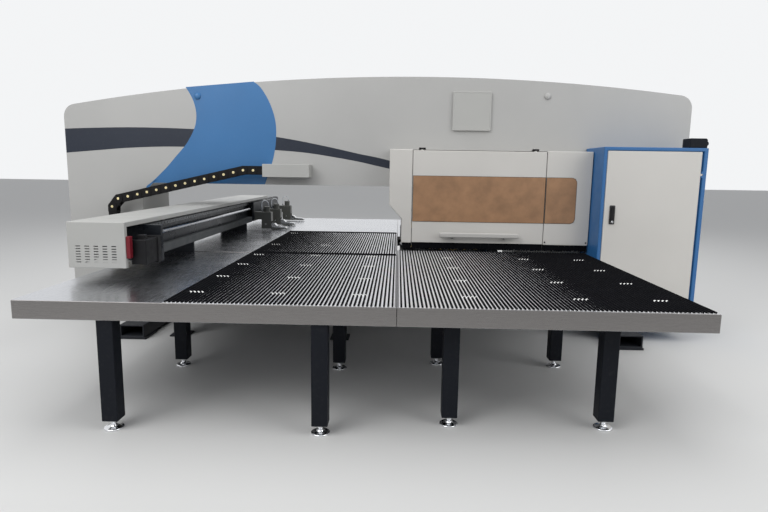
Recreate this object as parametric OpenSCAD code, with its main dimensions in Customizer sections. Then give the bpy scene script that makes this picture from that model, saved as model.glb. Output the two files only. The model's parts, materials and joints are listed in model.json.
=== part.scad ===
// CNC turret punch press with a closed O-shaped frame, brush tables in front and
// behind, a travelling cross beam with three sheet clamps, and two indexing turrets.
// X runs along the frame, Y away from the operator, Z up from the floor.

/* [Frame] */
// Overall length of the closed frame
frame_l = 6400; // [6250:50:6700]
// Thickness of the frame over its painted covers
frame_t = 680; // [640:10:740]
// Height of the arched top at the left end
arch_left_h = 2225; // [2150:5:2300]
// Rise of the arched top halfway along, above the mean of its two ends
arch_rise = 240; // [190:5:320]
// Height of the arched top at the right end
arch_right_h = 2385; // [2320:5:2440]
// Radius of the two upper corners
corner_r = 130; // [80:5:170]
// Width of the left column
left_col_w = 780; // [700:10:840]
// Height of the upper arm's underside
throat_top = 1450; // [1430:5:1500]
// Height of the lower arm's top
throat_bottom = 500; // [440:5:505]
// Chamfer in the throat's upper corners
throat_chamfer = 120; // [60:5:160]
// Thickness of the frame's two side plates
side_plate_t = 40; // [25:5:60]
// Thickness of the flange plates between them
flange_t = 25; // [16:1:40]
// Diameter of the access holes in the side plates
access_d = 260; // [180:10:300]
// Height of the transverse sole beams
sole_h = 140; // [120:5:155]
// Width of a sole beam
sole_w = 230; // [180:10:260]
// Length of a sole beam
sole_l = 2280; // [2000:20:2400]
// Wall of a sole beam
sole_wall = 14; // [8:1:20]
// Distance from the left column to the left sole's centre
sole_left_off = 200; // [160:10:240]
// Distance from the frame's right end to the right sole's centre
sole_right_in = 762; // [700:10:900]

/* [Covers] */
// Sheet thickness of the painted covers
cover_t = 3; // [2:0.5:5]
// Gap between the welded frame and its covers
cover_gap = 27; // [15:1:40]
// Height of the covers' lower edge
cover_bottom = 160; // [158:2:220]
// Side of the square sign panel
sign_side = 388; // [300:10:420]
// Thickness of the sign panel
sign_t = 26; // [12:1:40]
// Centre of the sign panel along the frame
sign_x = 998; // [900:10:1200]
// Distance from the arched top to the sign panel's centre
sign_down = 328; // [270:2:400]

/* [Table] */
// Height of the table surface
table_h = 820; // [816:2:840]
// Overall depth of the table, front edge to back edge
table_d = 6010; // [5800:20:6200]
// Distance from the left column to the table's left edge
table_inset = 395; // [370:5:420]
// Width of the left table sections
left_w = 2294; // [2270:2:2310]
// Width of the right table sections
right_w = 1876; // [1800:2:1900]
// Height of the folded front edge
fascia_h = 115; // [90:5:130]
// Sheet thickness of the stainless decks
deck_t = 3; // [2:0.5:4]
// Width of the plain stainless strip at the left edge
plain_w = 905; // [850:5:940]
// Half the depth of the middle table section
mid_half = 940; // [930:2:960]
// Width of the slots that the beam's uprights run in
slot_w = 36; // [34:1:44]
// Joint between two neighbouring table sections
seam_gap = 2; // [1:0.5:4]
// Border between a deck's edge and its brush bed
bed_border = 12; // [8:1:20]
// Clearance round a brush bed in its deck
bed_clear = 1; // [0.5:0.1:1.5]
// Thickness of a brush bed's base plate
bed_base_t = 8; // [5:1:10]
// Height of the bristle strips above the table surface
bristle_h = 10; // [6:1:14]
// Spacing of the bristle strips
strip_pitch = 25; // [20:0.5:50]
// Width of a bristle strip
strip_w = 13; // [8:0.5:15]
// Height of the channels under the decks
rail_h = 50; // [40:2:54]
// Width of the channels under the decks
rail_w = 60; // [50:2:80]
// Sheet thickness of those channels
rail_wall = 4; // [2:0.5:6]

/* [Legs] */
// Side of the square table legs
leg_side = 100; // [80:2:110]
// Wall of the table legs
leg_wall = 5; // [3:0.5:8]
// Diameter of a levelling foot
foot_d = 118; // [90:2:120]
// Thickness of a levelling foot's pad
foot_t = 18; // [12:1:24]
// Diameter of a foot's spindle
spindle_d = 30; // [20:1:36]
// Height of the leg's lower end above the floor
leg_gap = 62; // [50:1:80]
// Leg inset from the left edge, left tables
leg_left_in = 546; // [500:2:560]
// Spacing of the legs under the left tables
leg_left_span = 1290; // [1200:10:1320]
// Leg inset from the seam, right tables
leg_right_in = 347; // [340:1:360]
// Spacing of the legs under the right tables
leg_right_span = 986; // [950:2:1000]
// Distance from the front edge to the front legs, left tables
leg_left_front = 62; // [61:1:75]
// Distance from the front edge to the front legs, right tables
leg_right_front = 230; // [200:5:260]
// Depth between front and rear legs
leg_depth = 1150; // [1000:10:1200]

/* [Guide bench] */
// Height and width of the bench tubes
bench_side = 160; // [120:5:170]
// Wall of the bench tubes and posts
bench_wall = 10; // [6:1:14]
// Side of the bench posts
post_side = 120; // [90:5:130]
// Width of the lower guide rails
y_rail_w = 34; // [25:1:40]
// Height of the lower guide rails
y_rail_h = 28; // [24:1:34]
// Distance from the bench top to the saddle plate
saddle_lift = 60; // [58:1:66]
// Thickness of the saddle plates
saddle_t = 20; // [14:1:24]
// Radius of the long screw under the table
y_screw_r = 25; // [18:0.5:28]
// Height of that screw above the lower arm
y_screw_up = 75; // [72:1:80]
// Travel of the cross beam along the frame
beam_travel = 1450; // [1200:10:1450]

/* [Cross beam] */
// Width of the beam cover
beam_cover_w = 410; // [400:2:430]
// Height of the beam cover's top
beam_top = 1229; // [1200:1:1240]
// Height of the beam cover's lower edge
beam_low = 904; // [890:1:924]
// Length of the beam under its cover
beam_l = 4026; // [3800:2:4100]
// How far the beam runs on past its cover at the far end
beam_over = 607; // [560:1:700]
// Length of the housing at the near end
end_l = 354; // [330:2:380]
// Width of the beam tube
tube_w = 300; // [280:2:310]
// Height of the beam tube
tube_h = 260; // [240:2:264]
// Wall of the beam tube
tube_wall = 12; // [6:1:16]
// Thickness of the uprights
upright_t = 20; // [14:1:24]
// Width of the uprights
upright_w = 340; // [300:5:350]
// Columns of vent slots in the end cover
vent_cols = 5; // [3:1:6]
// Rows of vent slots in the end cover
vent_rows = 7; // [4:1:9]
// Width of a vent slot
vent_w = 34; // [20:1:40]
// Height of a vent slot
vent_h = 7; // [4:0.5:10]

/* [Clamps] */
// Length of the clamp carriage
carriage_l = 1512; // [1460:2:1600]
// Thickness of the carriage plate
carriage_t = 24; // [16:1:30]
// Distance from the middle to an outer clamp
clamp_pitch = 674; // [620:2:690]
// How far the middle clamp is set from the middle of its carriage
clamp_shift = -93; // [-200:1:200]
// Width of a clamp
clamp_w = 110; // [80:2:130]
// Reach of the jaws beyond the carriage plate
clamp_reach = 420; // [400:2:440]
// Length of a clamp's cylinder block
clamp_block_l = 128; // [120:2:160]
// Height of the clamp's top above the table
clamp_top = 304; // [290:2:340]
// Gap between the lower jaw and the bristle tops
jaw_clear = 3; // [2:0.5:6]
// Thickness of the lower jaw
jaw_t = 8; // [5:0.5:12]
// Radius of the screw along the beam
x_screw_r = 16; // [12:0.5:18]
// Travel of the clamp carriage
clamp_travel = 2500; // [1800:20:2540]
// Diameter of a clamp hose
hose_d = 10; // [6:0.5:11]
// Radius of a hose loop
hose_loop = 44; // [36:1:50]

/* [Energy chain] */
// Distance between a chain link's two pivots
link_l = 102; // [98:1:106]
// Height of a chain link
link_h = 88; // [70:2:90]
// Width of the energy chain
chain_w = 90; // [60:2:100]
// Radius of the chain's bend
bend_r = 150; // [130:2:170]
// Slope of the chain's upper run
chain_slope = 13.3; // [11:0.1:14]
// Distance from the front cover to the chain's middle
chain_out = 120; // [90:2:130]
// Height of the chain where it enters its tray
chain_h = 1595; // [1575:1:1610]
// Right end of the chain tray from the throat's left side
tray_right = 1787; // [1700:1:1850]
// Length of the chain tray
tray_l = 475; // [400:5:520]

/* [Turrets] */
// Distance from the table seam to the punching axis
punch_off = 96; // [94:1:120]
// Radius of the circle of tools
tool_circle_r = 470; // [440:5:500]
// Rim outside the circle of tools
turret_rim = 70; // [60:1:80]
// Number of tool stations
stations = 24; // [12:2:24]
// Thickness of the upper turret
upper_t = 150; // [120:5:170]
// Gap between the bristle tops and the upper turret
upper_gap = 38; // [30:1:50]
// Thickness of the lower turret
lower_t = 120; // [90:5:124]
// Radius of the large tools
tool_r = 44; // [30:1:46]
// Radius of the small tools
small_tool_r = 30; // [20:1:38]
// Radius of the turret shafts
turret_shaft_r = 60; // [40:1:80]
// Radius of the turret bearing housings
housing_r = 140; // [110:5:160]
// Stroke of the ram
ram_stroke = 40; // [20:1:42]
// Radius of the ram
ram_r = 35; // [25:1:45]
// Clearance between a turning or sliding shaft and its bore
run_clear = 0.05; // [0.02:0.01:0.1]

/* [Guard] */
// Left edge of the guard, measured from the punching axis
guard_left = 187; // [170:1:200]
// Length of the guard
guard_l = 1994; // [1960:2:2000]
// Height of the guard's top
guard_top = 1823; // [1800:1:1850]
// Height of the guard's lower edge
guard_low = 898; // [880:1:915]
// Gap between the turret and the inside of the guard
guard_gap = 42; // [32:1:60]
// Sheet thickness of the guard
guard_t = 3; // [2:0.5:4]
// Distance from the guard's left edge to the door
door_in = 231; // [200:1:240]
// Length of the guard door
door_l = 1312; // [1280:2:1330]
// Thickness of the folded guard door
door_t = 24; // [18:1:28]
// Gap round the guard door
door_gap = 5; // [4:0.5:8]
// Height of the notch for the clamps
notch_h = 237; // [200:1:260]
// Width of the notch for the clamps
notch_w = 128; // [100:1:140]
// Height of the slant above the notch
notch_slant = 142; // [100:1:160]
// Height of the window
window_h = 456; // [400:2:500]
// Distance from the guard's top to the window's top
window_down = 254; // [220:2:280]
// Thickness of the window panes
pane_t = 4; // [3:0.5:6]
// Length of the door handle
handle_l = 780; // [600:5:800]
// Diameter of the handle bar
handle_d = 44; // [30:1:50]
// Radius of the guard door's hinge knuckles
knuckle_r = 9; // [7:0.5:11]

/* [Cabinet] */
// Width of the control cabinet
cab_w = 959; // [900:1:980]
// Depth of the control cabinet
cab_d = 508; // [480:2:560]
// Height of the cabinet's top
cab_top = 1862; // [1800:2:1900]
// Blue rim round the cabinet door
cab_rim = 36; // [30:1:42]
// Wall of the cabinet
cab_wall = 3; // [2:0.5:4]
// Blue rim beside the door's hinges
cab_hinge_rim = 54; // [48:1:70]
// Thickness of the cabinet door
cab_door_t = 24; // [18:1:30]
// Width of the wiring duct on the cabinet
duct_w = 160; // [140:2:200]
// Height of the wiring duct on the cabinet
duct_h = 88; // [70:1:110]
// Depth of the wiring duct on the cabinet
duct_d = 150; // [120:2:200]
// Height of the cabinet lock's middle
lock_z = 1226; // [1150:2:1300]
// Length of the cabinet's lock lever
lock_l = 176; // [120:2:190]

/* [Hidden] */
$fn = 48;
eps = 0.01;
through = 20;

// Ends of the frame and the circle that its arched top follows
arch_mid_h = (arch_left_h + arch_right_h) / 2 + arch_rise;
frame_x0 = -frame_l / 2;
frame_x1 = frame_l / 2;
arch_cz = (2 * pow(arch_mid_h, 2) - pow(arch_left_h, 2) - pow(arch_right_h, 2)
    - 2 * pow(frame_x1, 2)) / (2 * (2 * arch_mid_h - arch_left_h - arch_right_h));
arch_cx = (pow(arch_mid_h, 2) - pow(arch_left_h, 2) - pow(frame_x1, 2)
    - 2 * (arch_mid_h - arch_left_h) * arch_cz) / (2 * frame_x1);
arch_r = sqrt(pow(arch_cx, 2) + pow(arch_mid_h - arch_cz, 2));
arch_steps = 40;
corner_steps = 8;
function arch_z(x, d = 0) = arch_cz + sqrt(pow(arch_r - d, 2) - pow(x - arch_cx, 2));
corner_xl = frame_x0 + corner_r;
corner_zl = arch_z(corner_xl, corner_r);
corner_xr = frame_x1 - corner_r;
corner_zr = arch_z(corner_xr, corner_r);
tangent_l = atan2(corner_zl - arch_cz, corner_xl - arch_cx);
tangent_r = atan2(corner_zr - arch_cz, corner_xr - arch_cx);
function arc(cx, cz, r, a0, a1, steps) =
    [for (i = [0:steps]) let (a = a0 + (a1 - a0) * i / steps)
        [cx + r * cos(a), cz + r * sin(a)]];
// Outer outline of the frame, a distance d inside the covers, down to height z0
function outline(d, z0) = concat(
    [[frame_x0 + d, z0]],
    arc(corner_xl, corner_zl, corner_r - d, 180, tangent_l, corner_steps),
    arc(arch_cx, arch_cz, arch_r - d, tangent_l, tangent_r, arch_steps),
    arc(corner_xr, corner_zr, corner_r - d, tangent_r, 0, corner_steps),
    [[frame_x1 - d, z0]]);

sign_z = arch_z(sign_x) - sign_down;

// Places along X, each from the piece before it
throat_x0 = frame_x0 + left_col_w;
table_x0 = throat_x0 + table_inset;
seam_x = table_x0 + left_w;
table_x1 = seam_x + right_w;
punch_x = seam_x + punch_off;
turret_x = punch_x + tool_circle_r;
turret_r = tool_circle_r + turret_rim;
throat_gap = 125;
throat_x1 = turret_x + turret_r + throat_gap;
// Throat outline grown by g, from height z0 up
function throat(g, z0) = let (c = throat_chamfer + g * (2 - sqrt(2)),
    a = throat_x0 - g, b = throat_x1 + g, t = throat_top + g)
    [[a, z0], [a, t - c], [a + c, t], [b - c, t], [b, t - c], [b, z0]];

// Frame depth levels
cover_y = frame_t / 2;
weld_inset = cover_t + cover_gap;
weld_y = cover_y - weld_inset;
sole_left_x = throat_x0 + sole_left_off;
sole_right_x = frame_x1 - sole_right_in;
sole_pad_t = 20;
sole_pad = sole_w + 30;

// Table levels and section edges
table_y = table_d / 2;
slot_half = slot_w / 2;
bed_x0 = table_x0 + plain_w;
pass_z = table_h + bristle_h;
bed_z0 = table_h - bed_base_t;
rail_z0 = bed_z0 - rail_h;
near_left_y1 = -mid_half - slot_half;
right_near_y1 = -turret_r - throat_gap / 2;
leg_top = rail_z0;
lip_h = 40;

// Guide bench and saddle levels
bench_top = throat_bottom + 20;
bench_x0 = table_x0 - 55;
bench_x1 = seam_x - 400;
saddle_z0 = bench_top + saddle_lift;
saddle_z1 = saddle_z0 + saddle_t;
y_screw_z = throat_bottom + y_screw_up;
cross_h = 90;
cross_w = 120;
stand_left_x0 = throat_x0 + eps;

// Cross beam
cover_x0 = table_x0 - 17;
cover_x1 = cover_x0 + beam_cover_w;
beam_x = cover_x0 + 202;
tube_x0 = beam_x - tube_w / 2;
tube_x1 = beam_x + tube_w / 2;
tube_z0 = beam_low + 20;
tube_z1 = tube_z0 + tube_h;
beam_y = beam_l / 2;
beam_far = beam_y + beam_over;
end_y0 = -beam_y - end_l;
end_cap = 37;
x_rail_t = 22;
x_rail_h = 26;
x_rail_low_z = tube_z0 + 30;
x_rail_high_z = tube_z1 - 24;
x_screw_x = tube_x1 + 30;
x_screw_z = tube_z1 - 90;
x_nut_r = x_screw_r + 8;
plate_x0 = x_screw_x + x_nut_r;
plate_x1 = plate_x0 + carriage_t;
plate_z0 = tube_z0 + 10;
plate_z1 = tube_z1 - 12;
carriage_y = beam_far - carriage_l / 2 - 30;

// Clamps
jaw_z0 = pass_z + jaw_clear;
jaw_z1 = jaw_z0 + jaw_t;
jaw_open_gap = 1.5;
tip_x = plate_x1 + clamp_reach;
block_x1 = tip_x - 200;
block_x0 = block_x1 - clamp_block_l;
clamp_z1 = table_h + clamp_top;
block_z0 = table_h + 112;
block_z1 = clamp_z1 - 74;
pivot_x = block_x0 + 56;
pivot_z = table_h + 74;
pivot_pin_r = 8;
jaw_w = clamp_w - 20;
function clamp_y(i) = carriage_y + (i == 1 ? clamp_shift : (i - 1) * clamp_pitch);

// Energy chain: a level start, a slope, a bend, and a level run to the beam
chain_y = -cover_y - chain_out;
tray_x1 = throat_x0 + tray_right;
tray_x0 = tray_x1 - tray_l;
tray_h = 130;
start_l = 150;
soft_r = 400;
soft_len = soft_r * PI * chain_slope / 180;
bend_len = bend_r * PI * (180 - chain_slope) / 180;
slope_l = 1234;
lobe_r = link_h / 2;
link_side = 7;
link_play = 0.3;
chain_lead = lobe_r + link_play;
chain_s4 = start_l + soft_len + slope_l + bend_len;
chain_x4 = tray_x0 - start_l - soft_r * sin(chain_slope) - slope_l * cos(chain_slope)
    + bend_r * sin(chain_slope);
links = floor((chain_s4 + cover_x0 - 14 - chain_x4 - 2 * lobe_r) / link_l);
// Point and direction on the chain's middle line at the length s from the tray
function chain_at(s) =
    let (s1 = start_l, s2 = s1 + soft_len, s3 = s2 + slope_l, s4 = s3 + bend_len,
        p1 = [tray_x0 - s1, chain_h],
        p2 = p1 + soft_r * [-sin(chain_slope), -(1 - cos(chain_slope))],
        p3 = p2 + slope_l * [-cos(chain_slope), -sin(chain_slope)],
        c4 = p3 + bend_r * [sin(chain_slope), -cos(chain_slope)],
        p4 = c4 + bend_r * [0, -1])
    s < s1 ? [tray_x0 - s, chain_h, 180]
    : s < s2 ? let (a = (s - s1) / soft_r * 180 / PI)
        [p1[0] - soft_r * sin(a), p1[1] - soft_r * (1 - cos(a)), 180 + a]
    : s < s3 ? [p2[0] - (s - s2) * cos(chain_slope),
        p2[1] - (s - s2) * sin(chain_slope), 180 + chain_slope]
    : s < s4 ? let (a = 180 + chain_slope + (s - s3) / bend_r * 180 / PI)
        [c4[0] + bend_r * sin(a), c4[1] - bend_r * cos(a), a]
    : [p4[0] + (s - s4), p4[1], 360];

// Turrets
upper_z0 = pass_z + upper_gap;
upper_z1 = upper_z0 + upper_t;
die_up = 8;
lower_z1 = pass_z - die_up;
lower_z0 = lower_z1 - lower_t;
punch_up = 60;
ram_gap = ram_stroke + 2;
ram_z0 = upper_z1 + punch_up + ram_gap;
ram_guide_z0 = ram_z0 + 60;
tool_clear = 0.3;
housing_z0 = upper_z1 + 90;
function station_r(i) = i % 2 == 0 ? tool_r : small_tool_r;

// Guard
guard_x0 = punch_x - guard_left;
guard_x1 = guard_x0 + guard_l;
guard_y = -turret_r - guard_gap - guard_t;
door_x0 = guard_x0 + door_in;
door_x1 = door_x0 + door_l;
door_z0 = guard_low + 6;
door_z1 = guard_top - 8;
hinge_y = guard_y + door_t / 2;
hinge_z = guard_top + knuckle_r + 1;
hinge_pin_r = 4;
hinge_l = 66;
hinge_in = 56;
hinge_xs = [door_x0 + hinge_in, door_x1 - hinge_in - hinge_l - 24];
window_z1 = guard_top - window_down;
window_z0 = window_z1 - window_h;
window_edge = 30;
side_window_x1 = guard_x1 - 144;
handle_z = guard_low + 90;
handle_out = 52;

// Cabinet
cab_x0 = guard_x1 + 6;
cab_x1 = cab_x0 + cab_w;
cab_y1 = -cover_y;
cab_y0 = cab_y1 - cab_d;
cab_face_y = cab_y0 + cab_door_t + 1;
cab_z0 = sole_h;
cab_door_x0 = cab_x0 + cab_rim;
cab_door_x1 = cab_x1 - cab_hinge_rim;
cab_door_z0 = cab_z0 + cab_rim;
cab_door_z1 = cab_top - cab_rim;
cab_hinge_r = 7;
cab_hinge_x = cab_door_x1 + cab_hinge_r + 1.5;
cab_hinge_y = cab_y0 + 2;
lock_x = cab_door_x0 + 76;
lock_y = cab_y0 - 10;
lock_pivot_z = lock_z - lock_l / 2 + 26;

// A profile drawn in X and Z, made thick from y0 to y0 + t
module xz(y0, t) {
    translate([0, y0 + t, 0]) rotate([90, 0, 0]) linear_extrude(t) children();
}

// A block between two opposite corners
module block(a, b) {
    translate(a) cube(b - a);
}

// A round bar along Y between y0 and y1
module bar_y(x, z, r, y0, y1) {
    translate([x, y1, z]) rotate([90, 0, 0]) cylinder(r = r, h = y1 - y0);
}

// A round bar along X between x0 and x1
module bar_x(y, z, r, x0, x1) {
    translate([x0, y, z]) rotate([0, 90, 0]) cylinder(r = r, h = x1 - x0);
}

// A square tube along X, Y or Z is a block with a smaller block taken out
module tube(a, b, wall, axis) {
    grow = [axis == 0 ? 1 : 0, axis == 1 ? 1 : 0, axis == 2 ? 1 : 0];
    difference() {
        block(a, b);
        block(a + [wall, wall, wall] - grow * (wall + 1),
            b - [wall, wall, wall] + grow * (wall + 1));
    }
}

// Welded O-frame: two side plates with flanges and ribs between them
module main_frame() {
    upper_cells = 4;
    cell_l = (throat_x1 - throat_x0) / upper_cells;
    col_holes = [for (f = [0.42, 0.82])
        throat_bottom + f * (throat_top - throat_bottom)];
    color("dimgray") difference() {
        xz(-weld_y, 2 * weld_y) difference() {
            polygon(outline(weld_inset, sole_h));
            polygon(throat(cover_t, throat_bottom));
        }
        xz(-weld_y + side_plate_t, 2 * (weld_y - side_plate_t)) difference() {
            polygon(outline(weld_inset + flange_t, sole_h + flange_t));
            polygon(throat(cover_t + flange_t, throat_bottom - flange_t));
            for (i = [0:upper_cells])
                translate([throat_x0 + i * cell_l - flange_t / 2, sole_h])
                    square([flange_t, arch_mid_h]);
            for (z = [throat_bottom - flange_t, throat_top + cover_t])
                translate([frame_x0, z]) square([frame_l, flange_t]);
        }
        for (i = [0:upper_cells - 1]) {
            x = throat_x0 + (i + 0.5) * cell_l;
            bar_y(x, (throat_top + arch_z(x)) / 2, access_d / 2, -weld_y - 1, weld_y + 1);
            bar_y(x, (sole_h + throat_bottom) / 2, access_d / 3, -weld_y - 1, weld_y + 1);
        }
        for (z = col_holes, x = [(frame_x0 + throat_x0) / 2, (frame_x1 + throat_x1) / 2])
            bar_y(x, z, access_d / 2, -weld_y - 1, weld_y + 1);
    }
}

// Two transverse sole beams with anchor pads
module base_soles() {
    color("#2b2d31") for (x = [sole_left_x, sole_right_x]) {
        tube([x - sole_w / 2, -sole_l / 2, sole_pad_t],
            [x + sole_w / 2, sole_l / 2, sole_h], sole_wall, 1);
        for (y = [-sole_l / 2, 0, sole_l / 2 - sole_pad])
            block([x - sole_pad / 2, y, 0], [x + sole_pad / 2, y + sole_pad, sole_pad_t]);
    }
}

// Outline of the big front and rear cover sheets
module cover_profile() {
    difference() {
        polygon(outline(0, cover_bottom));
        polygon(throat(0, cover_bottom - 1));
    }
}

module front_cover() {
    color("#b9b8b3") xz(-cover_y, cover_t) cover_profile();
}

module rear_cover() {
    color("#b9b8b3") xz(cover_y - cover_t, cover_t) cover_profile();
}

// Arched roof sheet with its two end sheets, bent as one
module roof_cover() {
    color("#b9b8b3") xz(-cover_y + cover_t, frame_t - 2 * cover_t) difference() {
        polygon(outline(0, cover_bottom));
        polygon(outline(cover_t, cover_bottom - 1));
    }
}

// Sheet that lines the throat's sides and the upper arm's underside
module throat_lining() {
    color("#aeada8") xz(-cover_y + cover_t, frame_t - 2 * cover_t) difference() {
        polygon(throat(cover_t, throat_bottom + 1));
        polygon(throat(0, throat_bottom));
    }
}

// Bare raised sign panel with rounded corners and a shallow face
module sign_panel() {
    r = 14;
    h = sign_side / 2;
    color("#c4c3be") difference() {
        union() {
            block([sign_x - h, -cover_y - sign_t, sign_z - h + r],
                [sign_x + h, -cover_y, sign_z + h - r]);
            block([sign_x - h + r, -cover_y - sign_t, sign_z - h],
                [sign_x + h - r, -cover_y, sign_z + h]);
            for (x = [sign_x - h + r, sign_x + h - r], z = [sign_z - h + r, sign_z + h - r])
                bar_y(x, z, r, -cover_y - sign_t, -cover_y);
        }
        block([sign_x - h + r, -cover_y - sign_t - 1, sign_z - h + r],
            [sign_x + h - r, -cover_y - sign_t + 2, sign_z + h - r]);
    }
}

// Sheet tray on the front cover that takes the chain's fixed end
module chain_tray() {
    z0 = chain_h - tray_h / 2;
    y0 = chain_y - chain_w / 2 - 14;
    color("#9fa3a5") union() {
        difference() {
            block([tray_x0, y0, z0], [tray_x1, -cover_y, z0 + tray_h]);
            block([tray_x0 - 1, y0 + cover_t, z0 + cover_t],
                [tray_x1 - cover_t, -cover_y - cover_t, z0 + tray_h - cover_t]);
        }
        block([tray_x0, chain_y - chain_w / 2, z0],
            [tray_x0 + 8, chain_y + chain_w / 2, chain_h + link_h / 2 - 8]);
    }
}

// One folded stainless deck with a fascia on the sides that are named
module deck(x0, x1, y0, y1, bed, down_front, down_back, down_left, down_right) {
    fall = max(down_front, down_back, down_left, down_right);
    difference() {
        block([x0, y0, table_h - fall], [x1, y1, table_h]);
        block([x0 + deck_t, y0 + deck_t, table_h - fall - 1],
            [x1 - deck_t, y1 - deck_t, table_h - deck_t]);
        for (side = [[down_front, [x0 + deck_t, y0 - 1], [x1 - deck_t, y0 + deck_t + 1]],
            [down_back, [x0 + deck_t, y1 - deck_t - 1], [x1 - deck_t, y1 + 1]],
            [down_left, [x0 - 1, y0 + deck_t], [x0 + deck_t + 1, y1 - deck_t]],
            [down_right, [x1 - deck_t - 1, y0 + deck_t], [x1 + 1, y1 - deck_t]]])
            if (side[0] < fall)
                block([side[1][0], side[1][1], table_h - fall - 1],
                    [side[2][0], side[2][1], table_h - side[0]]);
        if (len(bed) > 0)
            block([bed[0] - bed_clear, bed[1] - bed_clear, table_h - deck_t - 1],
                [bed[2] + bed_clear, bed[3] + bed_clear, table_h + 1]);
    }
}

// Brush beds, each [x0, y0, x1, y1]
bed_near_left = [bed_x0, -table_y + bed_border, seam_x - seam_gap / 2 - bed_border,
    near_left_y1 - bed_border];
bed_mid_left = [bed_x0, -mid_half + slot_half + bed_border,
    seam_x - seam_gap / 2 - bed_border, mid_half - slot_half - bed_border];
bed_near_right = [seam_x + seam_gap / 2 + bed_border, -table_y + bed_border,
    table_x1 - bed_border, right_near_y1 - bed_border];

module deck_near_left() {
    color("#cfd2d4") deck(table_x0, seam_x - seam_gap / 2, -table_y, near_left_y1,
        bed_near_left, fascia_h, lip_h, fascia_h, lip_h);
}

module deck_near_right() {
    color("#cfd2d4") deck(seam_x + seam_gap / 2, table_x1, -table_y, right_near_y1,
        bed_near_right, fascia_h, lip_h, lip_h, fascia_h);
}

module deck_mid_left() {
    color("#cfd2d4") deck(table_x0, seam_x - seam_gap / 2, -mid_half + slot_half,
        mid_half - slot_half, bed_mid_left, lip_h, lip_h, lip_h, lip_h);
}

// The two plain decks behind the frame
module decks_far() {
    color("#cfd2d4") {
        deck(table_x0, seam_x - seam_gap / 2, -near_left_y1, table_y, [],
            lip_h, fascia_h, fascia_h, lip_h);
        deck(seam_x + seam_gap / 2, table_x1, -right_near_y1, table_y, [],
            lip_h, fascia_h, lip_h, fascia_h);
    }
}

// Places of the ball units, each a row of four that takes four strips' places
ball_n = 4;
ball_rows = 4;
ball_half = 13;
bed_left_w = seam_x - bed_x0;
ball_first = 0.145 * (table_y - mid_half);
ball_pitch = 0.262 * (table_y - mid_half);
cols_left = [for (f = [0.052, 0.425, 0.797]) f * bed_left_w];
cols_right = [for (f = [0.224, 0.595, 0.87]) f * right_w];
clusters_near_left = [for (x = cols_left, k = [0:ball_rows - 1])
    [bed_x0 + x, -table_y + ball_first + k * ball_pitch]];
clusters_mid_left = [for (x = cols_left, y = [-0.38, 0.77]) [bed_x0 + x, y * mid_half]];
clusters_near_right = [for (x = cols_right, k = [0:ball_rows - 1])
    [seam_x + x, -table_y + ball_first + k * ball_pitch]];
function strip_count(b) = floor((b[2] - b[0] - strip_w) / strip_pitch);
function strip_start(b) = b[0] + (b[2] - b[0] - strip_count(b) * strip_pitch) / 2;
function strip_near(b, x) = strip_start(b)
    + round((x - strip_start(b)) / strip_pitch) * strip_pitch;

// Brush bed: a base plate with bristle strips that run away from the operator
module brush_bed(b, clusters) {
    color("#1d1d1f") difference() {
        union() {
            block([b[0], b[1], bed_z0], [b[2], b[3], table_h]);
            for (i = [0:strip_count(b)]) {
                x = strip_start(b) + i * strip_pitch;
                block([x - strip_w / 2, b[1] + 2, table_h - 1],
                    [x + strip_w / 2, b[3] - 2, pass_z]);
            }
        }
        for (c = clusters) if (c[1] < b[3] - 2 * ball_half) {
            x = strip_near(b, c[0]);
            block([x - strip_pitch / 2, c[1] - ball_half, table_h],
                [x + (ball_n - 0.5) * strip_pitch, c[1] + ball_half, pass_z + 1]);
        }
    }
}

module brush_bed_near_left() {
    brush_bed(bed_near_left, clusters_near_left);
}

module brush_bed_near_right() {
    brush_bed(bed_near_right, clusters_near_right);
}

module brush_bed_mid_left() {
    brush_bed(bed_mid_left, clusters_mid_left);
}

// Short rows of ball units, each a flanged socket with a low dome
module ball_rows(b, clusters) {
    top = bristle_h - 0.2;
    for (c = clusters, i = [0:ball_n - 1]) if (c[1] < b[3] - 2 * ball_half)
        translate([strip_near(b, c[0]) + i * strip_pitch, c[1], table_h]) {
            cylinder(r = 10, h = 3, $fn = 24);
            cylinder(r1 = 8.5, r2 = 5, h = top, $fn = 24);
        }
}

module ball_transfers() {
    color("#e6e6e0") {
        ball_rows(bed_near_left, clusters_near_left);
        ball_rows(bed_mid_left, clusters_mid_left);
        ball_rows(bed_near_right, clusters_near_right);
    }
}

// Ladder of channels, open below, that carries one deck, with rungs centred at ys
module ladder(x0, x1, y0, y1, z1, ys) {
    w = rail_wall;
    difference() {
        ladder_bars(x0, x1, y0, y1, rail_z0, z1, ys, 0);
        ladder_bars(x0, x1, y0, y1, rail_z0 - 1, z1 - w, ys, w);
    }
}

// The bars of a ladder, each made narrower by g on every side
module ladder_bars(x0, x1, y0, y1, z0, z1, ys, g) {
    for (x = [x0, x1 - rail_w])
        block([x + g, y0 + g, z0], [x + rail_w - g, y1 - g, z1]);
    for (y = concat([y0 + rail_w / 2], ys, [y1 - rail_w / 2]))
        block([x0 + g, y - rail_w / 2 + g, z0], [x1 - g, y + rail_w / 2 - g, z1]);
}

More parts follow.
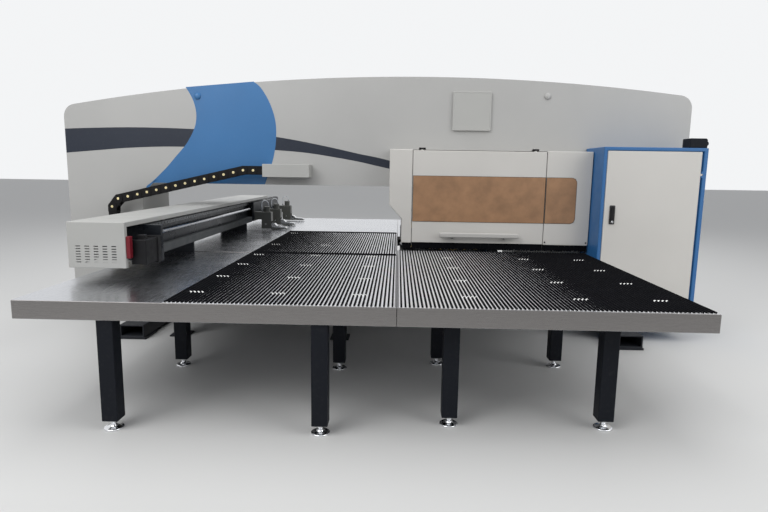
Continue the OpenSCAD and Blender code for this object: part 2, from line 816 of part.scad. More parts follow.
// Ladders of the four outer decks: low ones carry brush beds, high ones plain decks
module table_frames() {
    in = deck_t;
    flat = table_h - deck_t;
    left_ys = [-table_y + leg_left_front + leg_depth / 2,
        -table_y + leg_left_front + leg_depth];
    right_ys = [-table_y + leg_right_front, -table_y + leg_right_front + leg_depth / 2,
        -table_y + leg_right_front + leg_depth];
    color("#33363b") for (s = [0, 1]) mirror([0, s, 0]) {
        ladder(table_x0 + in, seam_x - seam_gap / 2 - in, -table_y + in,
            near_left_y1 - in, s == 0 ? bed_z0 : flat, left_ys);
        ladder(seam_x + seam_gap / 2 + in, table_x1 - in, -table_y + in,
            right_near_y1 - in, s == 0 ? bed_z0 : flat, right_ys);
        for (y = [-table_y + 420, near_left_y1 - 320, -mid_half + 140])
            block([seam_x - seam_gap / 2 - in, y, rail_z0],
                [seam_x + seam_gap / 2 + in, y + 80, table_h - lip_h - 4]);
    }
}

// Leg places, near side, left and right tables
function leg_points() = [
    for (x = [table_x0 + leg_left_in, table_x0 + leg_left_in + leg_left_span],
        y = [0, leg_depth]) [x, -table_y + leg_left_front + y],
    for (x = [seam_x + leg_right_in, seam_x + leg_right_in + leg_right_span],
        y = [0, leg_depth]) [x, -table_y + leg_right_front + y]];

// Square legs, each a tube with a bored bottom plate
module table_legs() {
    h = leg_side / 2;
    color("#33363b") for (s = [1, -1], p = leg_points()) difference() {
        block([p[0] - h, s * p[1] - h, leg_gap], [p[0] + h, s * p[1] + h, leg_top]);
        block([p[0] - h + leg_wall, s * p[1] - h + leg_wall, leg_gap + 12],
            [p[0] + h - leg_wall, s * p[1] + h - leg_wall, leg_top + 1]);
        translate([p[0], s * p[1], leg_gap - 1])
            cylinder(d = spindle_d + 0.6, h = 14);
    }
}

// Levelling feet: pad, neck, spindle and a lock nut under the leg
module levelling_feet() {
    color("#d8dadc") for (s = [1, -1], p = leg_points()) translate([p[0], s * p[1], 0])
        union() {
            rotate_extrude() polygon([[0, 0], [foot_d / 2, 0], [foot_d / 2, foot_t * 0.55],
                [foot_d / 2 - 7, foot_t * 0.8], [spindle_d, foot_t],
                [spindle_d * 0.75, foot_t + 9], [spindle_d / 2, foot_t + 12],
                [spindle_d / 2, leg_gap + 46], [0, leg_gap + 46]]);
            translate([0, 0, leg_gap - 19])
                cylinder(d = spindle_d * 1.8, h = 19, $fn = 6);
        }
}

// Stand of the middle deck: a ladder, brackets to the column and right posts
module mid_table_stand() {
    post_x = seam_x - 160;
    w = rail_wall;
    arm_z0 = rail_z0 - 40;
    arm_z1 = table_h - lip_h - 1;
    color("#33363b") difference() {
        union() {
            ladder_bars(table_x0 + deck_t, seam_x - seam_gap / 2 - deck_t,
                -mid_half + slot_half + deck_t, mid_half - slot_half - deck_t,
                rail_z0, bed_z0, [-220, 220], 0);
            for (y = [-220, 220])
                block([stand_left_x0, y - 30, arm_z0], [table_x0 + rail_w, y + 30, arm_z1]);
            for (y = [-220, 220])
                block([post_x, y - 26, throat_bottom], [post_x + 52, y + 26, bed_z0 - w]);
        }
        ladder_bars(table_x0 + deck_t, seam_x - seam_gap / 2 - deck_t,
            -mid_half + slot_half + deck_t, mid_half - slot_half - deck_t,
            rail_z0 - 1, bed_z0 - w, [], w);
        for (y = [-220, 220]) {
            block([stand_left_x0 + 12, y - 30 + w, arm_z0 - 1],
                [table_x0 + rail_w - w, y + 30 - w, arm_z1 - w]);
            block([table_x0 + deck_t + w, y - 30 + w, rail_z0 - 1],
                [post_x - 1, y + 30 - w, bed_z0 - w]);
        }
        for (y = [-220, 220])
            block([post_x + 4, y - 22, throat_bottom - 1],
                [post_x + 48, y + 22, bed_z0 - w - 6]);
    }
}

// Welded benches: long tubes on hollow posts with floor plates
module guide_bench() {
    h = post_side / 2;
    color("#2b2d31") for (y = [-mid_half, mid_half]) union() {
        tube([bench_x0, y - bench_side / 2, bench_top - bench_side],
            [bench_x1, y + bench_side / 2, bench_top], bench_wall, 0);
        for (x = [bench_x0 + 260, bench_x1 - 140]) difference() {
            union() {
                block([x - h, y - h, 1], [x + h, y + h, bench_top - bench_side + 1]);
                block([x - h - 30, y - h - 30, 0], [x + h + 30, y + h + 30, 15]);
            }
            block([x - h + bench_wall, y - h + bench_wall, -1],
                [x + h - bench_wall, y + h - bench_wall, bench_top - bench_side - 1]);
        }
    }
}

// Profiled linear rails on the bench
module y_rails() {
    w = y_rail_w / 2;
    color("#b8bcc0") for (y = [-mid_half, mid_half])
        translate([bench_x0 + 10, y, bench_top]) rotate([90, 0, 90])
            linear_extrude(bench_x1 - bench_x0 - 20)
                polygon([[-w, 0], [w, 0], [w, y_rail_h * 0.35], [w - 4, y_rail_h * 0.5],
                    [w, y_rail_h * 0.68], [w, y_rail_h], [-w, y_rail_h],
                    [-w, y_rail_h * 0.68], [-w + 4, y_rail_h * 0.5], [-w, y_rail_h * 0.35]]);
}

// Bearing blocks of the long screw, standing on the lower arm
y_sup_l = bench_x0 + 10;
y_sup_r = bench_x1 + 20;
sup_half = 62;
module y_screw_supports() {
    color("#44484e") for (x = [y_sup_l, y_sup_r]) difference() {
        block([x, -sup_half, throat_bottom], [x + 60, sup_half, y_screw_z + sup_half]);
        bar_x(0, y_screw_z, y_screw_r * 0.8 + run_clear, x - 1, x + 61);
    }
}

// Servo motor of the long screw
module y_motor() {
    x = y_sup_r + 60;
    color("#17181a") difference() {
        union() {
            block([x, -sup_half, y_screw_z - sup_half], [x + 20, sup_half, y_screw_z + sup_half]);
            block([x + 19, -sup_half + 8, y_screw_z - sup_half + 8],
                [x + 210, sup_half - 8, y_screw_z + sup_half - 8]);
            bar_x(0, y_screw_z, 40, x + 209, x + 250);
        }
        bar_x(0, y_screw_z, y_screw_r * 0.8 + 1, x - 1, x + 50);
    }
}

// Long ball screw with turned ends
module y_screw() {
    color("#c7cbd0") union() {
        bar_x(0, y_screw_z, y_screw_r, y_sup_l + 62, y_sup_r - 2);
        bar_x(0, y_screw_z, y_screw_r * 0.8, y_sup_l + 2, y_sup_r + 90);
    }
}

// Upper turret bearing housing, bolted under the upper arm
module upper_bearing_housing() {
    color("#6d7277") difference() {
        union() {
            translate([turret_x, 0, housing_z0]) cylinder(r = housing_r,
                h = throat_top - housing_z0);
            translate([turret_x, 0, throat_top - 40]) cylinder(r = housing_r + 60, h = 40);
        }
        translate([turret_x, 0, housing_z0 - 1])
            cylinder(r = turret_shaft_r + run_clear, h = 221);
        for (a = [0:45:315]) rotate_about(turret_x, a)
            translate([turret_x + housing_r + 32, 0, throat_top - 41])
                cylinder(r = 11, h = through);
    }
}

// Turn the children about the vertical line at x
module rotate_about(x, a) {
    translate([x, 0, 0]) rotate([0, 0, a]) translate([-x, 0, 0]) children();
}

// Lower turret bearing housing on the lower arm
module lower_bearing_housing() {
    color("#6d7277") difference() {
        union() {
            translate([turret_x, 0, throat_bottom])
                cylinder(r = housing_r, h = lower_z0 - 30 - throat_bottom);
            translate([turret_x, 0, throat_bottom]) cylinder(r = housing_r + 60, h = 40);
        }
        translate([turret_x, 0, throat_bottom + 20])
            cylinder(r = turret_shaft_r + run_clear, h = lower_z0);
        for (a = [0:45:315]) rotate_about(turret_x, a)
            translate([turret_x + housing_r + 32, 0, throat_bottom + 41 - through])
                cylinder(r = 11, h = through);
    }
}

// Places of the tool stations
module each_station() {
    for (i = [0:stations - 1]) {
        $station = i;
        rotate_about(turret_x, i * 360 / stations)
            translate([turret_x - tool_circle_r, 0, 0]) children();
    }
}

// Upper turret: a bored disc with a stepped hub and its shaft
module upper_turret() {
    color("#8b9096") difference() {
        union() {
            translate([turret_x, 0, 0]) rotate_extrude($fn = 96) polygon([
                [0, upper_z0], [turret_r - 6, upper_z0], [turret_r, upper_z0 + 6],
                [turret_r, upper_z1 - 6], [turret_r - 6, upper_z1],
                [turret_r - 2 * turret_rim - 60, upper_z1],
                [turret_r - 2 * turret_rim - 80, upper_z1 + 30],
                [housing_r - 20, upper_z1 + 30], [housing_r - 30, housing_z0 - 12],
                [turret_shaft_r, housing_z0 - 12],
                [turret_shaft_r, housing_z0 + 200], [0, housing_z0 + 200]]);
        }
        each_station() translate([0, 0, upper_z0 - 1])
            cylinder(r = station_r($station) + tool_clear, h = upper_t + 2);
    }
}

// Punches in their guides, with heads above the turret
module punches() {
    color("#caa64a") each_station() {
        r = station_r($station);
        translate([0, 0, upper_z0 + 2]) union() {
            cylinder(r = r, h = upper_t);
            cylinder(r = r * 0.62, h = upper_t + punch_up - 16);
            translate([0, 0, upper_t + punch_up - 18]) cylinder(r = r * 0.86, h = 16);
            translate([0, 0, upper_t - 1]) cylinder(r = r + 6, h = 9);
        }
    }
}

// Lower turret: a bored disc with its shaft
module lower_turret() {
    color("#8b9096") difference() {
        translate([turret_x, 0, 0]) rotate_extrude($fn = 96) polygon([
            [0, throat_bottom + 24], [turret_shaft_r, throat_bottom + 24],
            [turret_shaft_r, lower_z0 - 24], [housing_r - 30, lower_z0 - 24],
            [housing_r - 20, lower_z0], [turret_r - 6, lower_z0],
            [turret_r, lower_z0 + 6], [turret_r, lower_z1 - 6], [turret_r - 6, lower_z1],
            [0, lower_z1]]);
        each_station() translate([0, 0, lower_z0 - 1])
            cylinder(r = station_r($station) * 0.5, h = lower_t + 2);
        each_station() translate([0, 0, lower_z1 - 30])
            cylinder(r = station_r($station) + tool_clear, h = 31);
    }
}

// Dies seated in the lower turret
module dies() {
    color("#caa64a") each_station() {
        r = station_r($station);
        translate([0, 0, lower_z1 - 30]) difference() {
            cylinder(r = r, h = 30 + die_up - 1);
            translate([0, 0, -1]) cylinder(r = r * 0.45, h = 34 + die_up);
        }
    }
}

// Guide of the ram under the upper arm
module ram_guide() {
    w = ram_r + 45;
    color("#6d7277") difference() {
        block([punch_x - w, -w, ram_guide_z0], [punch_x + w, w, throat_top]);
        translate([punch_x, 0, ram_guide_z0 - 1])
            cylinder(r = ram_r + run_clear, h = throat_top - ram_guide_z0 - 19);
    }
}

// Ram with its striker
module ram() {
    color("#d0d3d6") translate([punch_x, 0, 0]) rotate_extrude() polygon([
        [0, ram_z0], [ram_r - 5, ram_z0], [ram_r, ram_z0 + 5],
        [ram_r, ram_guide_z0 + 130], [0, ram_guide_z0 + 130]]);
}

// Outline of the guard seen from the front, with the notch for the clamps, inset by d
function guard_outline(d) = [
    [guard_x0 + d, guard_top - d],
    [guard_x0 + d, guard_low + notch_h + notch_slant],
    [guard_x0 + notch_w + d, guard_low + notch_h],
    [guard_x0 + notch_w + d, guard_low - (d > 0 ? 1 : 0)],
    [guard_x1 - d, guard_low - (d > 0 ? 1 : 0)],
    [guard_x1 - d, guard_top - d]];

// Folded sheet housing over the turret, open below, with the door opening
module guard_housing() {
    in = 10;
    y1 = -cover_y;
    hinge_leaf_y1 = guard_y + door_t + 36;
    color("#d9d5c4") difference() {
        union() {
            difference() {
                xz(guard_y, y1 - guard_y) polygon(guard_outline(0));
                xz(guard_y + guard_t, y1 - guard_y) polygon(guard_outline(guard_t));
                block([door_x0 - door_gap, guard_y - 1, guard_low - 1],
                    [door_x1 + door_gap, guard_y + door_t + 6, guard_top + 1]);
                block([door_x1 + door_gap + in, guard_y - 1, window_z0 + in],
                    [side_window_x1 - in, guard_y + guard_t + 1, window_z1 - in]);
            }
            for (x = hinge_xs) {
                block([x, guard_y + door_t + 6, guard_top - 1],
                    [x + hinge_l, hinge_leaf_y1, guard_top + 4]);
                for (k = [0, hinge_l * 2 / 3]) {
                    bar_x(hinge_y, hinge_z, knuckle_r, x + k, x + k + hinge_l / 3);
                    block([x + k, hinge_y, guard_top], [x + k + hinge_l / 3,
                        guard_y + door_t + 8, guard_top + 4]);
                }
            }
        }
        for (x = hinge_xs)
            bar_x(hinge_y, hinge_z, hinge_pin_r + run_clear, x - 1, x + hinge_l + 1);
    }
}

// Brown pane beside the door
module guard_side_window() {
    color("#7b5235") block([door_x1 + door_gap + 1, guard_y - pane_t, window_z0],
        [side_window_x1, guard_y, window_z1]);
}

// Plain housing over the turret behind the frame
module guard_rear() {
    y0 = cover_y;
    y1 = -guard_y;
    x0 = guard_x0 + notch_w;
    color("#d9d5c4") difference() {
        block([x0, y0, guard_low], [guard_x1, y1, guard_top]);
        block([x0 + guard_t, y0 - 1, guard_low - 1],
            [guard_x1 - guard_t, y1 - guard_t, guard_top - guard_t]);
    }
}

// Lift-up door, a folded pan with a window opening and its hinge knuckles
module guard_door() {
    rim = 40;
    color("#dcd8c8") union() {
        difference() {
            block([door_x0, guard_y, door_z0], [door_x1, guard_y + door_t, door_z1]);
            block([door_x0 + guard_t, guard_y + guard_t, door_z0 + guard_t],
                [door_x1 - guard_t, guard_y + door_t + 1, door_z1 - guard_t]);
            block([door_x0 + rim, guard_y - 1, window_z0 + window_edge],
                [door_x1 - rim, guard_y + guard_t + 1, window_z1 - window_edge]);
        }
        for (x = hinge_xs) {
            m = x + hinge_l / 3 + 0.5;
            bar_x(hinge_y, hinge_z, knuckle_r, m, m + hinge_l / 3 - 1);
            block([m, hinge_y - 3, door_z1 - 1],
                [m + hinge_l / 3 - 1, hinge_y + 3, hinge_z - knuckle_r + 2]);
            bar_x(hinge_y, hinge_z, hinge_pin_r, x, x + hinge_l);
        }
    }
}

// Brown pane of the door
module door_window() {
    color("#7b5235") block([door_x0 + 3, guard_y - pane_t, window_z0],
        [door_x1 - 1, guard_y, window_z1]);
}

// Bar handle on two posts
module door_handle() {
    mid = door_x0 + door_l / 2 + 7;
    y = guard_y - handle_out;
    color("#8f9397") union() {
        bar_x(y, handle_z, handle_d / 2, mid - handle_l / 2, mid + handle_l / 2);
        for (x = [mid - handle_l * 0.33, mid + handle_l * 0.33]) {
            bar_y(x, handle_z - 6, handle_d * 0.3, y, guard_y);
            block([x - 22, guard_y - 6, handle_z - 48], [x + 22, guard_y, handle_z + 14]);
        }
    }
}

// Blue cabinet shell with a folded front rim
module cabinet_body() {
    w = cab_wall;
    color("#1f5fa8") difference() {
        union() {
            difference() {
                block([cab_x0, cab_face_y, cab_z0], [cab_x1, cab_y1, cab_top]);
                block([cab_x0 + w, cab_face_y + w, cab_z0 + w],
                    [cab_x1 - w, cab_y1 - w, cab_top - w]);
                block([cab_door_x0 + 12, cab_face_y - 1, cab_door_z0 + 12],
                    [cab_door_x1 - 12, cab_face_y + w + 1, cab_door_z1 - 12]);
            }
            rim_frame();
            for (z = [cab_door_z0 + 180, cab_door_z1 - 240])
                for (k = [0, 40]) {
                    translate([cab_hinge_x, cab_hinge_y, z + k])
                        cylinder(r = cab_hinge_r, h = 20);
                    block([cab_hinge_x, cab_hinge_y - 2, z + k],
                        [cab_door_x1 + 2 * cab_hinge_r + 6, cab_hinge_y + 5, z + k + 20]);
                }
        }
        for (z = [cab_door_z0 + 180, cab_door_z1 - 240])
            translate([cab_hinge_x, cab_hinge_y, z - 1])
                cylinder(r = 3 + run_clear, h = 62);
    }
}

// Rim that stands round the door as deep as the door is thick
module rim_frame() {
    gap = 3;
    clear = 2 * cab_hinge_r + 4;
    difference() {
        block([cab_x0, cab_y0, cab_z0], [cab_x1, cab_face_y + 1, cab_top]);
        block([cab_door_x0 - gap, cab_y0 - 1, cab_door_z0 - gap],
            [cab_door_x1 + clear, cab_face_y + 2, cab_door_z1 + gap]);
        block([cab_x0 + cab_wall, cab_y0 + cab_wall, cab_z0 + cab_wall],
            [cab_door_x0 - gap - cab_wall, cab_face_y + 2, cab_top - cab_wall]);
        block([cab_x0 + cab_wall, cab_y0 + cab_wall, cab_z0 + cab_wall],
            [cab_x1 - cab_wall, cab_face_y + 2, cab_door_z0 - gap - cab_wall]);
        block([cab_x0 + cab_wall, cab_y0 + cab_wall, cab_door_z1 + gap + cab_wall],
            [cab_x1 - cab_wall, cab_face_y + 2, cab_top - cab_wall]);
    }
}

// Mounting plate with drives, contactors and wiring ducts
module cabinet_components() {
    plate_y = cab_y1 - cab_wall - 40;
    x0 = cab_x0 + 60;
    x1 = cab_x1 - 60;
    w = x1 - x0;
    h = cab_top - cab_z0;
    color("#b9bdbf") {
        union() {
            block([x0, plate_y, cab_z0 + 70], [x1, plate_y + 4, cab_top - 70]);
            for (x = [x0 + 30, x1 - 60], z = [cab_z0 + 120, cab_top - 150])
                block([x, plate_y + 3, z], [x + 30, cab_y1 - cab_wall, z + 30]);
        }
        for (i = [0:3])
            block([x0 + (0.07 + 0.2 * i) * w, plate_y - 0.36 * cab_d, cab_z0 + 0.62 * h],
                [x0 + (0.21 + 0.2 * i) * w, plate_y, cab_z0 + 0.83 * h]);
        for (i = [0:8])
            block([x0 + (0.08 + 0.086 * i) * w, plate_y - 0.17 * cab_d, cab_z0 + 0.44 * h],
                [x0 + (0.147 + 0.086 * i) * w, plate_y, cab_z0 + 0.5 * h]);
        for (f = [0.33, 0.53, 0.87])
            block([x0 + 20, plate_y - 0.11 * cab_d, cab_z0 + f * h],
                [x1 - 20, plate_y, cab_z0 + (f + 0.03) * h]);
        block([x0 + 0.14 * w, plate_y - 0.3 * cab_d, cab_z0 + 0.095 * h],
            [x0 + 0.5 * w, plate_y, cab_z0 + 0.26 * h]);
    }
}

// Wiring duct on the cabinet with a chamfered corner and a gland
module duct_box() {
    x1 = cab_x1 - 14;
    x0 = x1 - duct_w;
    y0 = cab_y0 + 4;
    c = 12;
    color("#2b2d31") union() {
        xz(y0, duct_d) polygon([[x0, cab_top], [x0, cab_top + duct_h],
            [x1 - c, cab_top + duct_h], [x1, cab_top + duct_h - c], [x1, cab_top]]);
        bar_x(y0 + duct_d / 2, cab_top + duct_h / 2, 26, x1 - 1, x1 + 18);
        bar_x(y0 + duct_d / 2, cab_top + duct_h / 2, 20, x1 + 17, x1 + 40);
    }
}

// Cream door, a folded pan with hinge knuckles and the lock's escutcheon
module cabinet_door() {
    w = 2;
    color("#e2ddcc") difference() {
        union() {
            difference() {
                block([cab_door_x0, cab_y0, cab_door_z0],
                    [cab_door_x1, cab_y0 + cab_door_t, cab_door_z1]);
                block([cab_door_x0 + w, cab_y0 + w, cab_door_z0 + w],
                    [cab_door_x1 - w, cab_y0 + cab_door_t + 1, cab_door_z1 - w]);
            }
            block([lock_x - 27, cab_y0 - 5, lock_z - lock_l / 2],
                [lock_x + 27, cab_y0 + w, lock_z + lock_l / 2]);
            for (z = [cab_door_z0 + 180, cab_door_z1 - 240]) {
                translate([cab_hinge_x, cab_hinge_y, z + 20.5])
                    cylinder(r = cab_hinge_r, h = 19);
                translate([cab_hinge_x, cab_hinge_y, z + 1]) cylinder(r = 3, h = 58);
                block([cab_door_x1 - w, cab_hinge_y - 2, z + 20.5],
                    [cab_hinge_x, cab_hinge_y + 2, z + 39.5]);
            }
        }
        bar_y(lock_x, lock_pivot_z, 8 + run_clear, cab_y0 - 6, cab_y0 + w + 1);
    }
}

// Lock lever on its round spindle
module lock_handle() {
    y0 = cab_y0 - 22;
    color("#151618") union() {
        bar_y(lock_x, lock_pivot_z, 8, y0 + 1, cab_y0 + 14);
        bar_y(lock_x, lock_pivot_z, 14, y0, cab_y0 - 5.5);
        block([lock_x - 16, y0, lock_pivot_z], [lock_x + 16, y0 + 12, lock_pivot_z + lock_l - 46]);
        bar_y(lock_x, lock_pivot_z, 16, y0, y0 + 12);
        bar_y(lock_x, lock_pivot_z + lock_l - 46, 16, y0, y0 + 12);
    }
}

// Energy chain: links that follow the chain's middle line
module energy_chain() {
    color("#151517") for (i = [0:links - 1]) {
        p = chain_at(chain_lead + (i + 0.5) * link_l);
        translate([p[0], chain_y, p[1]]) rotate([0, -p[2], 0]) chain_link();
    }
}

// One link: at each side an outer plate round one pivot and an inner plate round the
// other, cranked in the middle, so that it laps its neighbours; and two cross bars
module chain_link() {
    c = link_l / 2 - lobe_r - 3;
    w = chain_w / 2;
    for (s = [-1, 1]) {
        y_out = s > 0 ? w - link_side : -w;
        y_in = s > 0 ? w - 2 * link_side - link_play : -w + link_side + link_play;
        bar_y(-link_l / 2, 0, lobe_r, y_out, y_out + link_side);
        block([-link_l / 2, y_out, -lobe_r], [c, y_out + link_side, lobe_r]);
        bar_y(link_l / 2, 0, lobe_r, y_in, y_in + link_side);
        block([-c, y_in, -lobe_r], [link_l / 2, y_in + link_side, lobe_r]);
        block([-c, min(y_in, y_out), -lobe_r],
            [c, max(y_in, y_out) + link_side, lobe_r]);
        bar_y(-link_l / 2, 0, 13, s * w - 3, s * w + 3);
    }
    for (z = [-lobe_r, lobe_r - 10])
        block([-c, -w + 1, z], [c, w - 1, z + 10]);
}

// Saddle: bearing blocks, plates, uprights, cross member and the screw's nut
module saddle() {
    block_l = 150;
    color("#3b4046") difference() {
        union() {
            for (y = [-mid_half, mid_half]) {
                block([beam_x - 180, y - 120, saddle_z0], [beam_x + 180, y + 120, saddle_z1]);
                for (x = [beam_x - 175, beam_x + 175 - block_l])
                    block([x, y - 50, bench_top + 6], [x + block_l, y + 50, saddle_z0 + 1]);
                block([beam_x - upright_w / 2, y - upright_t / 2, saddle_z1 - 1],
                    [beam_x + upright_w / 2, y + upright_t / 2, tube_z0]);
            }
            block([beam_x - cross_w / 2, -mid_half - 60, saddle_z1 - 1],
                [beam_x + cross_w / 2, mid_half + 60, saddle_z1 + cross_h]);
            block([beam_x - cross_w / 2, -50, y_screw_z - 48],
                [beam_x + cross_w / 2, 50, saddle_z1]);
        }
        for (y = [-mid_half, mid_half])
            block([beam_x - 200, y - y_rail_w / 2 - 0.5, bench_top],
                [beam_x + 200, y + y_rail_w / 2 + 0.5, bench_top + y_rail_h + 0.5]);
        block([beam_x - cross_w / 2 + 10, -mid_half - 61, saddle_z1 + 10],
            [beam_x + cross_w / 2 - 10, mid_half + 61, saddle_z1 + cross_h - 10]);
        bar_x(0, y_screw_z, y_screw_r + run_clear, beam_x - cross_w, beam_x + cross_w);
    }
}

// Box beam across the table, with welded brackets that carry its cover
module cross_beam() {
    brackets = 5;
    color("#454b54") difference() {
        union() {
            tube([tube_x0, -beam_y, tube_z0], [tube_x1, beam_far - 20, tube_z1], tube_wall, 1);
            block([tube_x0, beam_far - 21, tube_z0], [x_screw_x + 34, beam_far, tube_z1]);
            for (i = [0:brackets - 1]) {
                y = -beam_y + 60 + i * (2 * beam_y - 180) / (brackets - 1);
                block([tube_x0 + 30, y, tube_z1 - 1], [tube_x0 + 90, y + 60, beam_top - cover_t]);
                block([cover_x0 + cover_t, y, tube_z0 + 60],
                    [tube_x0 + 1, y + 60, tube_z0 + 120]);
            }
        }
        bar_y(x_screw_x, x_screw_z, x_screw_r * 0.75 + run_clear, beam_far - 22, beam_far + 1);
    }
}

// Roof and left wall over the beam, bent from one sheet
module beam_cover() {
    t = cover_t;
    lip = 34;
    color("#8f9496") xz_from(-beam_y - end_l + end_cap, beam_y - 37) polygon([
        [cover_x0, beam_low], [cover_x0 + t, beam_low], [cover_x0 + t, beam_top - t],
        [cover_x1 - t, beam_top - t], [cover_x1 - t, beam_top - lip],
        [cover_x1, beam_top - lip], [cover_x1, beam_top], [cover_x0, beam_top]]);
}

// Angle bracket that ties the chain's moving end to the beam
module chain_bracket() {
    end_s = chain_lead + links * link_l;
    x0 = chain_at(end_s)[0] + lobe_r + link_play;
    z = chain_at(end_s)[1];
    h = link_h / 2 - 6;
    color("#5c6168") union() {
        block([x0, chain_y - chain_w / 2, z - h], [x0 + 8, chain_y + chain_w / 2, z + h]);
        block([x0, chain_y - chain_w / 2, z - h], [cover_x0, chain_y + chain_w / 2, z - h + 8]);
        block([cover_x0 - 8, chain_y - chain_w / 2, z - h - 60],
            [cover_x0, chain_y + chain_w / 2, z + h]);
    }
}

// A profile drawn in X and Z, made long from y0 to y1
module xz_from(y0, y1) {
    xz(y0, y1 - y0) children();
}

// Vented cup over the beam's near end
module end_cover() {
    t = cover_t;
    pitch_x = 63.5;
    pitch_z = 18.8;
    mid_x = (cover_x0 + cover_x1) / 2 - 4;
    mid_z = beam_low + 98;
    color("#9a9ea0") difference() {
        block([cover_x0, end_y0, beam_low], [cover_x1, end_y0 + end_cap, beam_top]);
        block([cover_x0 + t, end_y0 + t, beam_low + t],
            [cover_x1 - t, end_y0 + end_cap + 1, beam_top - t]);
        for (i = [0:vent_cols - 1], k = [0:vent_rows - 1])
            translate([mid_x + (i - (vent_cols - 1) / 2) * pitch_x,
                end_y0 + t / 2, mid_z + (k - (vent_rows - 1) / 2) * pitch_z])
                cube([vent_w, t + 2, vent_h], center = true);
    }
}

// Two linear rails on the beam's right face
module x_rails() {
    color("#b8bcc0") for (z = [x_rail_low_z, x_rail_high_z])
        block([tube_x1, -beam_y + 20, z - x_rail_h / 2],
            [tube_x1 + x_rail_t, beam_far - 24, z + x_rail_h / 2]);
}

// Servo motor beside the beam's near end
module x_motor() {
    x0 = cover_x1 + 2;
    x1 = x0 + 120;
    z0 = tube_z0 - 14;
    z1 = z0 + 200;
    color("#17181a") union() {
        block([x0, -beam_y - 40 - 60, z0], [x1, -beam_y - 40, z1]);
        block([x0 + 6, -beam_y - 290, z0 + 12], [x1 - 6, -beam_y - 99, z1 - 12]);
        block([x0 + 30, -beam_y - 250, z1 - 13], [x1 - 30, -beam_y - 200, z1 + 22]);
    }
}

// Case of the toothed belt between motor and screw
module belt_case() {
    y0 = -beam_y - 40;
    x1 = cover_x1 + 122;
    color("#3b4046") difference() {
        block([tube_x0, y0, tube_z0 - 14], [x1, -beam_y, tube_z1]);
        bar_y(x_screw_x, x_screw_z, x_screw_r * 0.75 + run_clear, y0 - 1, -beam_y + 1);
    }
}

// Red buffer block between the end cover and the motor
module red_buffer() {
    x0 = cover_x1;
    color("#b3221f") block([x0, end_y0 + 8, tube_z0 + 50],
        [x0 + 30, end_y0 + 8 + 42, tube_z0 + 205]);
}

// Folded bellows over the lower rail, on both sides of the carriage
module beam_bellows() {
    y_near0 = -beam_y + 24;
    y_near1 = carriage_y - carriage_l / 2 - 2;
    y_far0 = carriage_y + carriage_l / 2 + 2;
    y_far1 = beam_far - 22;
    color("#232a3d") {
        bellows(y_near0, y_near1, 60);
        bellows(y_far0, y_far1, 1);
    }
}

// A zigzag cover around the lower rail, with n folds between y0 and y1
module bellows(y0, y1, n) {
    p = (y1 - y0) / n;
    x0 = tube_x1 + 0.3;
    x_in = tube_x1 + x_rail_t + 20;
    x_out = x_in + 16;
    z0 = x_rail_low_z - x_rail_h / 2 - 16;
    z1 = x_rail_low_z + x_rail_h / 2 + 26;
    difference() {
        translate([0, 0, z0]) linear_extrude(z1 - z0) polygon(concat(
            [[x0, y0]],
            [for (i = [0:n - 1]) each [[x_in, y0 + i * p], [x_out, y0 + (i + 0.5) * p]]],
            [[x_in, y1], [x0, y1]]));
        block([x0 - 2, y0 - 1, x_rail_low_z - x_rail_h / 2 - 3],
            [tube_x1 + x_rail_t + 4, y1 + 1, x_rail_low_z + x_rail_h / 2 + 3]);
    }
}

// Carriage plate with its bearing blocks and the screw's nut
module clamp_carriage() {
    y0 = carriage_y - carriage_l / 2;
    y1 = carriage_y + carriage_l / 2;
    color("#5c6168") difference() {
        union() {
            block([plate_x0, y0, plate_z0], [plate_x1, y1, plate_z1]);
            for (z = [x_rail_low_z, x_rail_high_z], y = [y0 + 10, carriage_y - 70, y1 - 150])
                block([tube_x1 + 4, y, z - 34 < plate_z0 ? plate_z0 : z - 34],
                    [plate_x0 + 1, y + 140, z + 34 > plate_z1 ? plate_z1 : z + 34]);
            bar_y(x_screw_x, x_screw_z, x_nut_r, carriage_y - 90, carriage_y + 90);
            block([x_screw_x, carriage_y - 90, x_screw_z - 14],
                [plate_x0 + 1, carriage_y + 90, x_screw_z + 14]);
        }
        for (z = [x_rail_low_z, x_rail_high_z])
            block([tube_x1 - 1, y0 - 1, z - x_rail_h / 2 - 0.5],
                [tube_x1 + x_rail_t + 0.5, y1 + 1, z + x_rail_h / 2 + 0.5]);
        bar_y(x_screw_x, x_screw_z, x_screw_r + run_clear, y0 - 1, y1 + 1);
    }
}

// Ball screw along the beam
module x_screw() {
    color("#d3d7db") union() {
        bar_y(x_screw_x, x_screw_z, x_screw_r, -beam_y + 2, beam_far - 23);
        bar_y(x_screw_x, x_screw_z, x_screw_r * 0.75, -beam_y - 38, beam_far - 1);
    }
}

// Clamp bodies with lower jaws and cylinder blocks
module clamp_bodies() {
    color("#3a3d42") for (i = [0:2]) translate([0, clamp_y(i), 0]) clamp_body();
}

module clamp_body() {
    h = clamp_w / 2;
    ear = (clamp_w - jaw_w) / 2 - 0.5;
    difference() {
        union() {
            block([plate_x1, -h, plate_z0 + 20], [block_x0 + 1, h, plate_z0 + 120]);
            block([block_x0, -h, block_z0], [block_x1, h, block_z1]);
            translate([(block_x0 + block_x1) / 2, 0, block_z1 - 1])
                cylinder(r = clamp_block_l * 0.3, h = clamp_z1 - block_z1 + 1);
            for (y = [-h, h - ear])
                block([block_x0, y, jaw_z0], [block_x1, y + ear, block_z0 + 1]);
            block([block_x0, -h, jaw_z0], [block_x0 + 20, h, block_z0 + 1]);
            block([block_x0, -h, jaw_z0], [tip_x, h, jaw_z1]);
        }
        bar_y(pivot_x, pivot_z, pivot_pin_r + run_clear, -h - 1, h + 1);
    }
}

